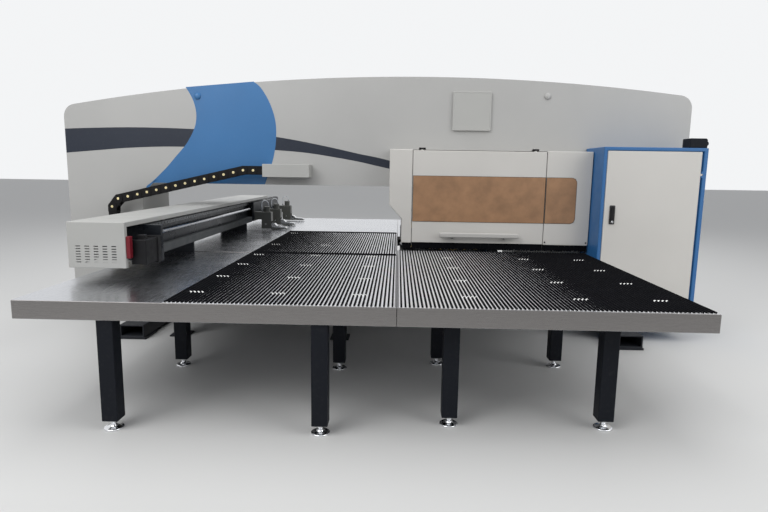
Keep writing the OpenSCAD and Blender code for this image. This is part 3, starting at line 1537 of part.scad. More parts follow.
// Upper jaws, each a lever with its pivot pin
module upper_jaws() {
    color("#a9adb1") for (i = [0:2]) translate([0, clamp_y(i), 0]) upper_jaw();
}

module upper_jaw() {
    z = jaw_z1 + jaw_open_gap;
    h = jaw_w / 2 - 0.5;
    union() {
        xz(-h, 2 * h) polygon([[pivot_x - 16, pivot_z - 16], [pivot_x - 10, pivot_z + 14],
            [pivot_x + 16, pivot_z + 14], [block_x1 + 40, pivot_z + 10],
            [block_x1 + 74, jaw_z1 + 30], [tip_x - 20, jaw_z1 + 20], [tip_x, jaw_z1 + 10],
            [tip_x, z], [tip_x - 50, z], [tip_x - 62, z + 5], [pivot_x + 30, z + 6]]);
        bar_y(pivot_x, pivot_z, pivot_pin_r, -clamp_w / 2, clamp_w / 2);
    }
}

// Air hoses that loop from the carriage plate to each clamp
module clamp_hoses() {
    color("#c9ccd0") for (i = [0:2]) translate([0, clamp_y(i), 0]) clamp_hose();
}

module clamp_hose() {
    x1 = (block_x0 + block_x1) / 2 + 20;
    x0 = x1 - 2 * hose_loop;
    z = clamp_z1 + 30;
    union() {
        translate([x1 - hose_loop, 0, z]) rotate([90, 0, 0])
            rotate_extrude(angle = 180, $fn = 24) translate([hose_loop, 0])
                circle(d = hose_d, $fn = 12);
        translate([x1, 0, clamp_z1]) cylinder(d = hose_d, h = z - clamp_z1 + 1, $fn = 12);
        translate([x0, 0, plate_z0 + 120]) cylinder(d = hose_d, h = z - plate_z0 - 119, $fn = 12);
    }
}

main_frame();
base_soles();
front_cover();
rear_cover();
roof_cover();
throat_lining();
sign_panel();
chain_tray();
guard_housing();
guard_side_window();
guard_rear();
cabinet_body();
cabinet_components();
duct_box();
deck_near_left();
deck_near_right();
deck_mid_left();
decks_far();
brush_bed_near_left();
brush_bed_near_right();
brush_bed_mid_left();
ball_transfers();
table_frames();
table_legs();
levelling_feet();
mid_table_stand();
guide_bench();
y_rails();
y_screw_supports();
y_motor();
upper_bearing_housing();
lower_bearing_housing();
ram_guide();
energy_chain();
saddle();
cross_beam();
beam_cover();
chain_bracket();
end_cover();
x_rails();
x_motor();
belt_case();
red_buffer();
beam_bellows();
clamp_carriage();
clamp_bodies();
clamp_hoses();
upper_jaws();
y_screw();
x_screw();
upper_turret();
punches();
lower_turret();
dies();
ram();
guard_door();
door_window();
door_handle();
cabinet_door();
lock_handle();
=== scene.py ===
# %% [markdown]
# # A turret punch press, dressed for a render
# The steel work of this machine comes from its CAD model, which is loaded below as a fixed frame.
# Every piece added here is a surface worked out with numpy, or a softened copy of a CAD sheet,
# and it rides on the CAD body that carries it. Lengths are metres, +X runs along the frame, +Z is
# up.

# %% Load the frame and the tools
import json
import math

import bmesh
import bpy
import numpy as np
from mathutils import Matrix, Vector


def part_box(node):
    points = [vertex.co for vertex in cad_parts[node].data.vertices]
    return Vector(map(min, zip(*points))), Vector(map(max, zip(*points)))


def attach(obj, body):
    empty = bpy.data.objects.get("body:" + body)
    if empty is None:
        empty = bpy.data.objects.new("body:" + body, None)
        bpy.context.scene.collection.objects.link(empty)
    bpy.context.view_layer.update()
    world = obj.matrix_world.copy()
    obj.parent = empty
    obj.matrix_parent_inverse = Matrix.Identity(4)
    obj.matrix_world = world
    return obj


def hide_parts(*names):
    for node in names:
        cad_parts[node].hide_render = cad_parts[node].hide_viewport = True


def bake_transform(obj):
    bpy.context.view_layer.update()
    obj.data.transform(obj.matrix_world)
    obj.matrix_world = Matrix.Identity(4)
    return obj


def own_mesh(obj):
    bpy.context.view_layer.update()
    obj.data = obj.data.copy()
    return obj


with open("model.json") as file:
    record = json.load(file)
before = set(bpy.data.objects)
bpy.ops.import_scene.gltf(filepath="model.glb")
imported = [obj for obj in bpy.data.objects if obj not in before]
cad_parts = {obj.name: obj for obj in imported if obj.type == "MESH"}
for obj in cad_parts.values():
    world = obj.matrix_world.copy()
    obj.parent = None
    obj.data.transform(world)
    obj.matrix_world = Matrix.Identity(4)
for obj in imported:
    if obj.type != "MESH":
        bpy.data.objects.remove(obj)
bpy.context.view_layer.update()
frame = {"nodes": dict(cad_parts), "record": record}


def corners(node):
    """Lowest and highest corner of a CAD node, as numpy arrays."""
    low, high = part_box(node)
    return np.array(low), np.array(high)


# %% [markdown]
# ## The camera
# The photograph was taken from standing height in front of the table, with a slightly wide lens.
# The camera's place and three small angles were worked out from the table's straight edges, so
# the render lines up with the real machine.

# %% Camera
lens_mm, sensor_mm = 26.25, 36.0
yaw, pitch, roll = np.radians([-1.28677, 8.65084, -0.85937])
eye = np.array([0.261, -6.195, 1.610])
ahead = np.array([math.sin(yaw) * math.cos(pitch), math.cos(yaw) * math.cos(pitch),
                  -math.sin(pitch)])
level_right = np.array([math.cos(yaw), -math.sin(yaw), 0.0])
level_down = np.cross(ahead, level_right)
right = math.cos(roll) * level_right + math.sin(roll) * level_down
down = -math.sin(roll) * level_right + math.cos(roll) * level_down
camera_data = bpy.data.cameras.new("camera")
camera_data.lens, camera_data.sensor_width = lens_mm, sensor_mm
camera_data.clip_end = 200.0
camera = bpy.data.objects.new("camera", camera_data)
turn = np.eye(4)
turn[:3, 0], turn[:3, 1], turn[:3, 2], turn[:3, 3] = right, -down, -ahead, eye
camera.matrix_world = Matrix(turn.tolist())
bpy.context.collection.objects.link(camera)
bpy.context.scene.camera = camera
print("camera", eye.tolist(), "lens", lens_mm)

# %% [markdown]
# ## Small helpers for surfaces
# A surface is a grid of points, so its faces follow from the grid's size alone. One helper turns
# a grid into a mesh, and another joins several grids into one piece.


# %% Mesh helpers
def grid_quads(rows, cols, wrap_rows=False, wrap_cols=False):
    """Corner numbers of the quads between neighbouring points of a rows x cols grid."""
    r = np.arange(rows if wrap_rows else rows - 1)
    c = np.arange(cols if wrap_cols else cols - 1)
    r, c = np.meshgrid(r, c, indexing="ij")
    r2, c2 = (r + 1) % rows, (c + 1) % cols
    return np.stack([r * cols + c, r2 * cols + c, r2 * cols + c2, r * cols + c2], -1).reshape(-1, 4)


def flat_ends(rows, n):
    """Quads that close the first and the last row of a flat ring of n points, where point j lies
    across from point n - 1 - j."""
    j = np.arange(n // 2 - 1)
    return [np.stack([r * n + j, r * n + j + 1, r * n + n - 2 - j, r * n + n - 1 - j], -1)
            for r in (0, rows - 1)]


def add_mesh(name, parts, smooth=False):
    """One object from parts. A part is its points (n x 3) and its faces: one array of corner
    numbers, or a list of such arrays where some faces have more corners than others."""
    points, loops, starts, offset, place = [], [], [], 0, 0
    for co, faces in parts:
        co = np.asarray(co, float).reshape(-1, 3)
        points.append(co)
        for some in faces if isinstance(faces, list) else [faces]:
            some = np.asarray(some, int)
            loops.append((some + offset).reshape(-1))
            starts.append(place + np.arange(len(some)) * some.shape[1])
            place += some.size
        offset += len(co)
    points, loops, starts = np.concatenate(points), np.concatenate(loops), np.concatenate(starts)
    mesh = bpy.data.meshes.new(name)
    mesh.vertices.add(len(points))
    mesh.vertices.foreach_set("co", points.astype(np.float32).ravel())
    mesh.loops.add(len(loops))
    mesh.loops.foreach_set("vertex_index", loops.astype(np.int32))
    mesh.polygons.add(len(starts))
    mesh.polygons.foreach_set("loop_start", starts.astype(np.int32))
    mesh.polygons.foreach_set("use_smooth", np.full(len(starts), smooth))
    mesh.update(calc_edges=True)
    mesh.validate()
    obj = bpy.data.objects.new(name, mesh)
    bpy.context.collection.objects.link(obj)
    return obj


def outward(obj):
    """Joins points that lie on each other and turns every face of a closed piece outwards."""
    bm = bmesh.new()
    bm.from_mesh(obj.data)
    bmesh.ops.remove_doubles(bm, verts=bm.verts, dist=1e-6)
    bmesh.ops.recalc_face_normals(bm, faces=bm.faces)
    bm.to_mesh(obj.data)
    bm.free()
    return obj


def dress(obj, body, material, slot, *nodes):
    """Gives a piece its body (None for a piece that bends between two) and its finish, and hides
    the
    CAD nodes it stands for. The slot argument is not used."""
    obj.data.materials.clear()
    obj.data.materials.append(material)
    if body:
        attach(obj, body)
    if nodes:
        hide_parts(*nodes)
    return obj


def lathe_part(profile, centre=(0, 0, 0), axis="z", sides=32):
    """A profile of (radius, height) points carried round an axis: point = centre + r*(cos, sin) +
    h*axis. The profile starts and ends on the axis, so the piece is closed."""
    profile = np.array(profile, float)
    angle = np.linspace(0, 2 * np.pi, sides, endpoint=False)
    r, h = profile[1:-1, 0, None], profile[1:-1, 1, None] + 0 * angle
    ring = np.stack([r * np.cos(angle), r * np.sin(angle), h], -1).reshape(-1, 3)
    co = np.concatenate([ring, [(0, 0, profile[0, 1]), (0, 0, profile[-1, 1])]])
    order = {"z": [0, 1, 2], "x": [2, 0, 1], "y": [1, 2, 0]}[axis]
    rows, i = len(profile) - 2, np.arange(sides)
    j, last = (i + 1) % sides, (rows - 1) * sides
    fans = np.concatenate([np.stack([i * 0 + rows * sides, i, j], -1),
                           np.stack([i * 0 + rows * sides + 1, last + j, last + i], -1)])
    return co[:, order] + np.array(centre), [grid_quads(rows, sides, wrap_cols=True), fans]


def tube_part(path, radius, sides=12):
    """A round closed tube along a path: each ring stands square to the path's direction, keeps its
    turn from one point to the next, and the two ends are flat."""
    path = np.asarray(path, float)
    along = np.gradient(path, axis=0)
    along /= np.linalg.norm(along, axis=1, keepdims=True)
    side = np.cross(along, [0.0, 1.0, 0.0])
    weak = np.linalg.norm(side, axis=1) < 0.2
    side[weak] = np.cross(along[weak], [0.0, 0.0, 1.0])
    for i in range(1, len(side)):
        if side[i] @ side[i - 1] < 0:
            side[i] *= -1
    side /= np.linalg.norm(side, axis=1, keepdims=True)
    third = np.cross(along, side)
    angle = np.linspace(0, 2 * np.pi, sides, endpoint=False)[:, None]
    radius = np.broadcast_to(radius, len(path))
    ring = radius[:, None, None] * (np.cos(angle) * side[:, None] + np.sin(angle) * third[:, None])
    co = (path[:, None] + ring).reshape(-1, 3)
    ends = np.stack([np.arange(sides), (len(path) - 1) * sides + np.arange(sides)[::-1]])
    return co, [grid_quads(len(path), sides, wrap_cols=True), ends]


def rounded(x0, x1, y0, y1, radii, steps=6):
    """A rectangle's outline with its four corners rounded (low-low, high-low, high-high, low-high):
    each corner is a quarter circle, point = centre + radius * (cos, sin)."""
    radii = np.broadcast_to(radii, 4).astype(float)
    corner_x, corner_y = np.array([x0, x1, x1, x0]), np.array([y0, y0, y1, y1])
    inward = np.array([(1, 1), (-1, 1), (-1, -1), (1, -1)])
    start = np.pi + np.arange(4) * np.pi / 2
    angle = start[:, None] + np.linspace(0, np.pi / 2, steps)
    x = (corner_x + inward[:, 0] * radii)[:, None] + radii[:, None] * np.cos(angle)
    y = (corner_y + inward[:, 1] * radii)[:, None] + radii[:, None] * np.sin(angle)
    return np.stack([x, y], -1).reshape(-1, 2)


def inset(outline, by):
    """The outline moved inwards by that much: each point goes along the mean of its two edges'
    normals."""
    step = np.roll(outline, -1, 0) - outline
    length = np.linalg.norm(step, axis=1, keepdims=True)
    step /= np.where(length > 1e-9, length, 1)
    tangent = step + np.roll(step, 1, 0)
    tangent /= np.maximum(np.linalg.norm(tangent, axis=1, keepdims=True), 1e-9)
    inward = np.stack([-tangent[:, 1], tangent[:, 0]], -1)
    return outline + by * inward


def prism_part(outline, start, stop, rim, axis="y"):
    """A flat plate with a chamfered rim: the anticlockwise outline at four depths, inset by rim at
    both ends, closed by two flat faces. axis is the direction of its thickness."""
    depths = [(start, rim), (start + rim, 0), (stop - rim, 0), (stop, rim)]
    rings = [np.column_stack([inset(outline, by) if by else outline, np.full(len(outline), depth)])
             for depth, by in depths]
    order = {"y": [0, 2, 1], "z": [0, 1, 2], "x": [2, 0, 1]}[axis]
    n = len(outline)
    caps = np.stack([np.arange(n)[::-1], (len(rings) - 1) * n + np.arange(n)])
    quads = grid_quads(len(rings), n, wrap_cols=True)[:, ::-1]
    return np.concatenate(rings)[:, order], [quads, caps]


def repeated(part, shifts, turns=None):
    """The part at many places: point = turn @ point + shift, for every place at once."""
    co, faces = part
    shifts = np.asarray(shifts, float).reshape(-1, 3)
    turns = np.broadcast_to(np.eye(3) if turns is None else turns, (len(shifts), 3, 3))
    many = np.einsum("mij,nj->mni", turns, co) + shifts[:, None]
    steps = np.arange(len(shifts))[:, None, None] * len(co)
    faces = faces if isinstance(faces, list) else [faces]
    return many.reshape(-1, 3), [(some[None] + steps).reshape(-1, some.shape[1]) for some in faces]


def screw_head(radius, height, place, axis="z"):
    """A cap screw's head at a place: a low cylinder with a chamfer and a sunk socket. It stands up,
    or out of the machine's front where axis is y."""
    socket, rim = radius * 0.5, radius * 0.14
    profile = [(0, 0), (radius, 0), (radius, height - rim), (radius - rim, height),
               (socket, height), (socket * 0.9, height * 0.45), (0, height * 0.4)]
    co, faces = lathe_part(profile, (0, 0, 0), axis, sides=12)
    return co * ([1, -1, 1] if axis == "y" else 1) + place, faces


def solids_of(node):
    """Lowest and highest corners of each separate solid of a CAD node, as two arrays."""
    bm = bmesh.new()
    bm.from_mesh(frame["nodes"][node].data)
    bmesh.ops.remove_doubles(bm, verts=bm.verts, dist=1e-5)
    left, found = set(bm.verts), []
    while left:
        island, edge = set(), [left.pop()]
        while edge:
            here = edge.pop()
            island.add(here)
            near = {e.other_vert(here) for e in here.link_edges} & left
            left -= near
            edge.extend(near)
        co = np.array([v.co for v in island])
        found.append((co.min(0), co.max(0)))
    bm.free()
    found.sort(key=lambda box: tuple(np.round(box[0], 4)))
    return np.array([low for low, high in found]), np.array([high for low, high in found])


# %% [markdown]
# ## Finishes
# Each finish is a short chain of nodes that reads Object coordinates, so a pattern stays put on
# its piece. Sprayed paint has a fine orange peel in its bump and a slow drift in its colour and
# gloss; brushed sheet has streaks along one direction; plastics have a fine grain.


# %% Material helpers
dust_tint = np.array([0.30, 0.28, 0.25])


def new_finish(name):
    """An empty Principled material, with its tree and shader."""
    material = bpy.data.materials.new(name)
    material.use_nodes = True
    tree = material.node_tree
    return material, tree, tree.nodes["Principled BSDF"]


def coordinates(tree, scale):
    """Object coordinates through a Mapping node with the given scale."""
    place = tree.nodes.new("ShaderNodeTexCoord")
    mapping = tree.nodes.new("ShaderNodeMapping")
    mapping.inputs["Scale"].default_value = scale
    tree.links.new(place.outputs["Object"], mapping.inputs["Vector"])
    return mapping.outputs["Vector"]


def noise(tree, scale, detail=3.0, stretch=(1, 1, 1)):
    """Noise of that many grains a metre, stretched along the axes."""
    node = tree.nodes.new("ShaderNodeTexNoise")
    node.inputs["Scale"].default_value = scale
    node.inputs["Detail"].default_value = detail
    tree.links.new(coordinates(tree, stretch), node.inputs["Vector"])
    return node.outputs["Fac"]


def ranged(tree, value, low, high, start=0.3, end=0.7):
    """The value, moved from start..end to low..high."""
    node = tree.nodes.new("ShaderNodeMapRange")
    for key, number in (("From Min", start), ("From Max", end), ("To Min", low), ("To Max", high)):
        node.inputs[key].default_value = number
    tree.links.new(value, node.inputs["Value"])
    return node.outputs["Result"]


def mixed(tree, factor, first, second):
    """A colour between two colours or colour sockets."""
    node = tree.nodes.new("ShaderNodeMix")
    node.data_type = "RGBA"
    tree.links.new(factor, node.inputs["Factor"])
    for socket, colour in ((node.inputs[6], first), (node.inputs[7], second)):
        if isinstance(colour, bpy.types.NodeSocket):
            tree.links.new(colour, socket)
        else:
            socket.default_value = (*colour, 1.0)
    return node.outputs[2]


def bumped(tree, shader, height, distance, strength):
    """A Bump node on the shader: height is a socket, distance is in metres."""
    node = tree.nodes.new("ShaderNodeBump")
    node.inputs["Distance"].default_value = distance
    node.inputs["Strength"].default_value = strength
    tree.links.new(height, node.inputs["Height"])
    tree.links.new(node.outputs["Normal"], shader.inputs["Normal"])


def two_tone(tree, value, colour, darker, lighter):
    """The colour, less by a share where the value is low and more by a share where it is high."""
    return mixed(tree, ranged(tree, value, 0, 1), colour * (1 - darker), colour * (1 + lighter))


def painted(name, colour, rough=0.38, drift=0.06, peel=260.0, dust=0.10, shine=0.5):
    """Sprayed metal: orange peel (grains a metre), a slow drift of shade, and pale specks of
    dust."""
    material, tree, shader = new_finish(name)
    colour = np.array(colour)
    shade = two_tone(tree, noise(tree, 1.3), colour, drift, drift)
    speck = ranged(tree, noise(tree, 38.0, 5.0), 0, dust, 0.55, 0.75)
    dusty = colour * 0.5 + dust_tint
    tree.links.new(mixed(tree, speck, shade, dusty), shader.inputs["Base Color"])
    gloss = ranged(tree, noise(tree, 6.0, 4.0), rough - 0.05, rough + 0.09)
    tree.links.new(gloss, shader.inputs["Roughness"])
    shader.inputs["Specular IOR Level"].default_value = shine
    bumped(tree, shader, noise(tree, peel, 1.0), 0.0004, 0.12)
    return material


def brushed(name, colour, along="x", rough=0.30, streak=0.06, smudge=0.10, metal=1.0):
    """Brushed or ground metal: fine streaks along one axis, with slow smudges over them."""
    material, tree, shader = new_finish(name)
    stretch = {"x": (0.6, 60, 60), "y": (60, 0.6, 60), "z": (60, 60, 0.6)}[along]
    lines = noise(tree, 14.0, 6.0, stretch)
    tone = two_tone(tree, lines, np.array(colour), streak, streak)
    tree.links.new(tone, shader.inputs["Base Color"])
    slow = ranged(tree, noise(tree, 2.2, 5.0), -smudge, smudge)
    fine = ranged(tree, lines, rough - 0.06, rough + 0.06)
    add = tree.nodes.new("ShaderNodeMath")
    tree.links.new(slow, add.inputs[0])
    tree.links.new(fine, add.inputs[1])
    tree.links.new(add.outputs[0], shader.inputs["Roughness"])
    shader.inputs["Metallic"].default_value = metal
    bumped(tree, shader, lines, 0.0002, 0.03)
    return material


def moulded(name, colour, rough=0.5, grain=420.0, depth=0.15, shine=0.5):
    """Moulded plastic, rubber or coated cloth with a fine grain (grains a metre)."""
    material, tree, shader = new_finish(name)
    tone = two_tone(tree, noise(tree, 9.0, 4.0), np.array(colour), 0.15, 0.18)
    tree.links.new(tone, shader.inputs["Base Color"])
    gloss = ranged(tree, noise(tree, 30.0), rough - 0.06, rough + 0.08)
    tree.links.new(gloss, shader.inputs["Roughness"])
    shader.inputs["Specular IOR Level"].default_value = shine
    bumped(tree, shader, noise(tree, grain, 2.0), 0.0005, depth)
    return material


# %% The finishes
cover_grey = painted("warm_grey_paint", (0.405, 0.403, 0.392), 0.40, drift=0.03, dust=0.05)
panel_cream = painted("cream_powder_coat", (0.565, 0.550, 0.520), 0.42, drift=0.03, peel=420.0,
                      dust=0.05)
light_sheet = painted("light_grey_paint", (0.405, 0.405, 0.388), 0.40, drift=0.03, peel=420.0,
                      dust=0.05)
field_blue = painted("blue_paint", (0.030, 0.140, 0.330), 0.36, drift=0.07, dust=0.03)
field_navy = painted("near_black_paint", (0.014, 0.019, 0.032), 0.38, drift=0.08, dust=0.03,
                     shine=0.35)
cabinet_blue = painted("blue_powder_coat", (0.022, 0.120, 0.310), 0.38, drift=0.05, peel=420.0,
                       dust=0.03)
charcoal = painted("charcoal_paint", (0.018, 0.020, 0.025), 0.45, dust=0.06, shine=0.2)
leg_charcoal = painted("leg_powder_coat", (0.0095, 0.0110, 0.0150), 0.48, peel=420.0, dust=0.02,
                       shine=0.10)
beam_paint = painted("slate_paint", (0.012, 0.014, 0.018), 0.28, dust=0.02, shine=0.3)
iron_paint = painted("casting_paint", (0.11, 0.115, 0.115), 0.42, peel=120.0)
red_paint = painted("red_paint", (0.15, 0.010, 0.018), 0.35, dust=0.01, shine=0.3)
olive_grey = painted("olive_grey_paint", (0.085, 0.086, 0.076), 0.36, drift=0.04, dust=0.03,
                     shine=0.5)
black_steel = painted("blackened_steel", (0.036, 0.036, 0.034), 0.38, shine=0.4)
stainless = brushed("brushed_stainless", (0.57, 0.58, 0.61), "y", 0.25, streak=0.04, smudge=0.03)
# A darker copy of the brushed stainless for the decks' upright faces: painted shade on their sides.
stainless_shaded_sides = brushed("brushed_stainless_painted_shade", (0.235, 0.225, 0.220), "x", 0.27, smudge=0.04)
# Ground steel whose colour is darkened as painted shade for the rail under the beam cover; the ram
# takes the same colour.
rail_steel_painted_shade = brushed("ground_rail_painted_shade", (0.13, 0.135, 0.14), "y", 0.30)
guide_steel = brushed("ground_guide", (0.50, 0.51, 0.53), "x", 0.24)
screw_steel = brushed("ground_screw", (0.62, 0.63, 0.65), "y", 0.18)
disc_steel = brushed("turned_disc", (0.12, 0.125, 0.13), "x", 0.34)
jaw_steel = brushed("ground_jaw", (0.70, 0.71, 0.72), "x", 0.22)
bright_plate = brushed("bright_plating", (0.78, 0.79, 0.81), "z", 0.12, streak=0.02, smudge=0.04)
handle_paint = painted("light_bar_paint", (0.47, 0.46, 0.44), 0.36, drift=0.02, peel=420.0,
                       dust=0.02)
tool_gold = brushed("coated_tool", (0.58, 0.43, 0.18), "z", 0.30)
bristle_black = moulded("bristle_black", (0.0045, 0.0047, 0.0060), 0.85, 900.0, 0.5, shine=0.04)
base_plate = brushed("bright_bed_plate", (0.92, 0.92, 0.94), "y", 0.42, streak=0.02, smudge=0.03,
                     metal=0.5)
joint_plate = brushed("dull_joint_plate", (0.20, 0.20, 0.21), "y", 0.45, streak=0.04, smudge=0.03,
                      metal=0.5)
ball_white = moulded("ball_white", (0.93, 0.93, 0.91), 0.25, 100.0, 0.02)
chain_black = moulded("chain_plastic", (0.0075, 0.0070, 0.0075), 0.50, shine=0.15)
pin_cream = moulded("pin_cream", (0.84, 0.72, 0.40), 0.42)
motor_black = moulded("motor_black", (0.0080, 0.0080, 0.0090), 0.45, shine=0.18)
bellows_cloth = moulded("bellows_cloth", (0.090, 0.095, 0.098), 0.60, 700.0, 0.2, shine=0.25)
hose_silver = moulded("hose_silver", (0.66, 0.68, 0.70), 0.22, 200.0, 0.03)
film_brown = moulded("kraft_film", (0.285, 0.158, 0.082), 0.45, 60.0, 0.2)
gasket_black = moulded("gasket_rubber", (0.012, 0.012, 0.012), 0.55, shine=0.25)
cover_dark = moulded("drive_plastic", (0.035, 0.035, 0.037), 0.5, shine=0.35)

finished_nodes = (
    (cover_grey, "front_cover rear_cover roof_cover throat_lining"),
    (panel_cream, "guard_housing guard_rear guard_door cabinet_door"),
    (light_sheet, "sign_panel chain_tray beam_cover chain_bracket end_cover"),
    (cabinet_blue, "cabinet_body"),
    (charcoal, "main_frame base_soles guide_bench saddle"),
    (leg_charcoal, "duct_box table_frames table_legs mid_table_stand"),
    (beam_paint, "cross_beam belt_case clamp_carriage"),
    (iron_paint, "y_screw_supports upper_bearing_housing lower_bearing_housing ram_guide"),
    (red_paint, "red_buffer"),
    (olive_grey, "clamp_bodies"),
    (stainless, "deck_near_left deck_near_right deck_mid_left decks_far"),
    (rail_steel_painted_shade, "x_rails ram"),
    (guide_steel, "y_rails"),
    (screw_steel, "x_screw y_screw"),
    (disc_steel, "upper_turret lower_turret"),
    (jaw_steel, "upper_jaws"),
    (bright_plate, "levelling_feet"),
    (handle_paint, "door_handle"),
    (tool_gold, "punches dies"),
    (bristle_black, "brush_bed_near_left brush_bed_near_right brush_bed_mid_left"),
    (ball_white, "ball_transfers"),
    (chain_black, "energy_chain"),
    (motor_black, "x_motor y_motor lock_handle"),
    (bellows_cloth, "beam_bellows"),
    (hose_silver, "clamp_hoses"),
    (film_brown, "door_window guard_side_window"),
    (cover_dark, "cabinet_components"))
node_finish = {node: finish for finish, nodes in finished_nodes for node in nodes.split()}
for node, finish in node_finish.items():
    materials = frame["nodes"][node].data.materials
    for i in range(len(materials)):
        materials[i] = finish
    if not materials:
        materials.append(finish)
print("CAD nodes with a finish", len(node_finish))

# %% [markdown]
# ## The painted fields on the frame
# The real covers carry a tall blue field and a near-black swoosh that crosses it. Painted fields
# have crisp edges, so each is a very thin closed skin that lies on the cover, bounded by two
# curves that run through a few measured points. The near-black one runs a little way under the
# blue. Two round caps close the lifting holes.


# %% Painted fields
def curve_through(points, count):
    """A smooth curve of count points through the given ones (Catmull-Rom: each span is a cubic
    whose slope at a point is half the step between that point's neighbours)."""
    p = np.array(points, float)
    p = np.concatenate([[2 * p[0] - p[1]], p, [2 * p[-1] - p[-2]]])
    t = np.linspace(0, len(p) - 3 - 1e-9, count)
    i = t.astype(int)
    u = (t - i)[:, None]
    a, b, c, d = p[i], p[i + 1], p[i + 2], p[i + 3]
    return 0.5 * (2 * b + (c - a) * u + (2 * a - 5 * b + 4 * c - d) * u ** 2
                  + (3 * b - a - 3 * c + d) * u ** 3)


def skin_between(first, second, y_out, y_in, blend, lowest=None):
    """A closed skin between two curves in X and Z: every row is a straight blend from the first
    curve to the second, once at depth y_out and once at y_in, joined round the rim. lowest, if
    given, is a function of X for the height of the last row; the rows above it follow by a share
    that fades out over a fifth of the skin."""
    across, blend = len(blend), np.asarray(blend)[None, :, None]
    flat = first[:, None] * (1 - blend) + second[:, None] * blend
    rows = flat.shape[0]
    if lowest is not None:
        share = np.clip((np.arange(rows) / (rows - 1) - 0.8) / 0.2, 0, 1)[:, None]
        flat[..., 1] += share * (lowest(flat[-1:, :, 0]) - flat[-1:, :, 1])
    outer = np.stack([flat[..., 0], np.full(flat.shape[:2], y_out), flat[..., 1]], -1)
    inner = np.stack([flat[..., 0], np.full(flat.shape[:2], y_in), flat[..., 1]], -1)
    both = np.concatenate([outer, inner[:, ::-1]], axis=1)
    quads = grid_quads(rows, 2 * across, wrap_cols=True)
    return both.reshape(-1, 3), np.concatenate([quads] + flat_ends(rows, 2 * across))


blue_rows, navy_rows = 96, 40
blue_left = curve_through([
    (-1.921, 2.4245), (-1.868, 2.339), (-1.834, 2.249), (-1.820, 2.150), (-1.831, 2.058),
    (-1.859, 1.983), (-1.896, 1.915), (-1.948, 1.838), (-2.048, 1.727), (-2.157, 1.606),
    (-2.304, 1.467), (-2.370, 1.416), (-2.3805, 1.3710)], blue_rows)
blue_right = curve_through([
    (-1.222, 2.4865), (-1.159, 2.437), (-1.101, 2.356), (-1.052, 2.258), (-1.016, 2.151),
    (-0.999, 2.044), (-0.999, 1.935), (-1.011, 1.826), (-1.031, 1.725), (-1.062, 1.622),
    (-1.123, 1.4515)], blue_rows)
navy_top_left = curve_through([
    (-3.199, 1.9935), (-2.902, 2.006), (-2.520, 2.016), (-2.139, 2.014), (-1.858, 2.007),
    (-1.800, 2.005)], navy_rows)
navy_low_left = curve_through([
    (-3.199, 1.748), (-2.917, 1.774), (-2.566, 1.805), (-2.217, 1.823), (-1.957, 1.826),
    (-1.800, 1.826)], navy_rows)
navy_top_right = curve_through([
    (-1.060, 1.944), (-0.999, 1.9385), (-0.805, 1.909), (-0.593, 1.871), (-0.362, 1.825),
    (-0.141, 1.778), (0.044, 1.744), (0.177, 1.714)], navy_rows)
navy_low_right = curve_through([
    (-1.060, 1.808), (-1.013, 1.805), (-0.797, 1.791), (-0.603, 1.771), (-0.381, 1.738),
    (-0.159, 1.701), (0.026, 1.662), (0.177, 1.630)], navy_rows)
front_y = float(corners("front_cover")[0][1])
rear_y = float(corners("rear_cover")[1][1])
bend_x, throat_z = -2.2985, 1.4515
blue_skin, navy_skin = 0.0007, 0.0004


def throat_edge(x):
    """Height of the throat's upper edge: a slope of 45 degrees up to bend_x, then level."""
    return np.minimum(throat_z, throat_z + x - bend_x)


corner_share = (bend_x - blue_left[-1, 0]) / (blue_right[-1, 0] - blue_left[-1, 0])
blue_steps = np.sort(np.append(np.linspace(0, 1, 30), corner_share))
navy_steps = np.linspace(0, 1, 8)
cap_profile = np.array([(0, 0), (0.034, 0), (0.034, 0.003), (0.0325, 0.008), (0.028, 0.0135),
                        (0.020, 0.0175), (0.010, 0.0195), (0, 0.020)])
navy_curves = [(navy_top_left, navy_low_left), (navy_top_right, navy_low_right)]
fields = [("blue", field_blue, blue_skin, blue_steps, throat_edge, [(blue_left, blue_right)]),
          ("navy", field_navy, navy_skin, navy_steps, None, navy_curves)]
holes = [("right", 1.754, 2.376, cover_grey), ("left", -1.800, 2.335, field_blue)]
for label, face_y, sign in (("front", front_y, -1), ("rear", rear_y, 1)):
    for colour, finish, skin, steps, lowest, curves in fields:
        parts = [skin_between(a, b, face_y + sign * skin, face_y, steps, lowest) for a, b in curves]
        field = outward(add_mesh(f"{label}_field_{colour}", parts))
        dress(field, "frame", finish, "cover_grey")
    for side, x, z, finish in holes:
        dome = lathe_part(cap_profile * [1, sign], (x, face_y, z), "y", 36)
        cap = outward(add_mesh(f"{label}_cap_{side}", [dome], smooth=True))
        dress(cap, "frame", finish, "cover_grey")
print("painted fields on", front_y, rear_y)

# %% [markdown]
# ## Formed sheets and machined blocks
# The real sheets are bent, so their corners are round, and machined blocks have a small chamfer.
# A softened copy of a CAD node gives both: its triangles are joined into whole faces, each edge
# gets a bevel weight that fits the faces beside it, and a Bevel modifier rounds it. The CAD mesh
# is untouched.


# %% Softened copies
body_of_node = {n: b for b, ns in frame["record"]["behaviour"]["bodies"].items() for n in ns}
slot_of_node = {part["node"]: part["material_slot"] for part in frame["record"]["subparts"]}


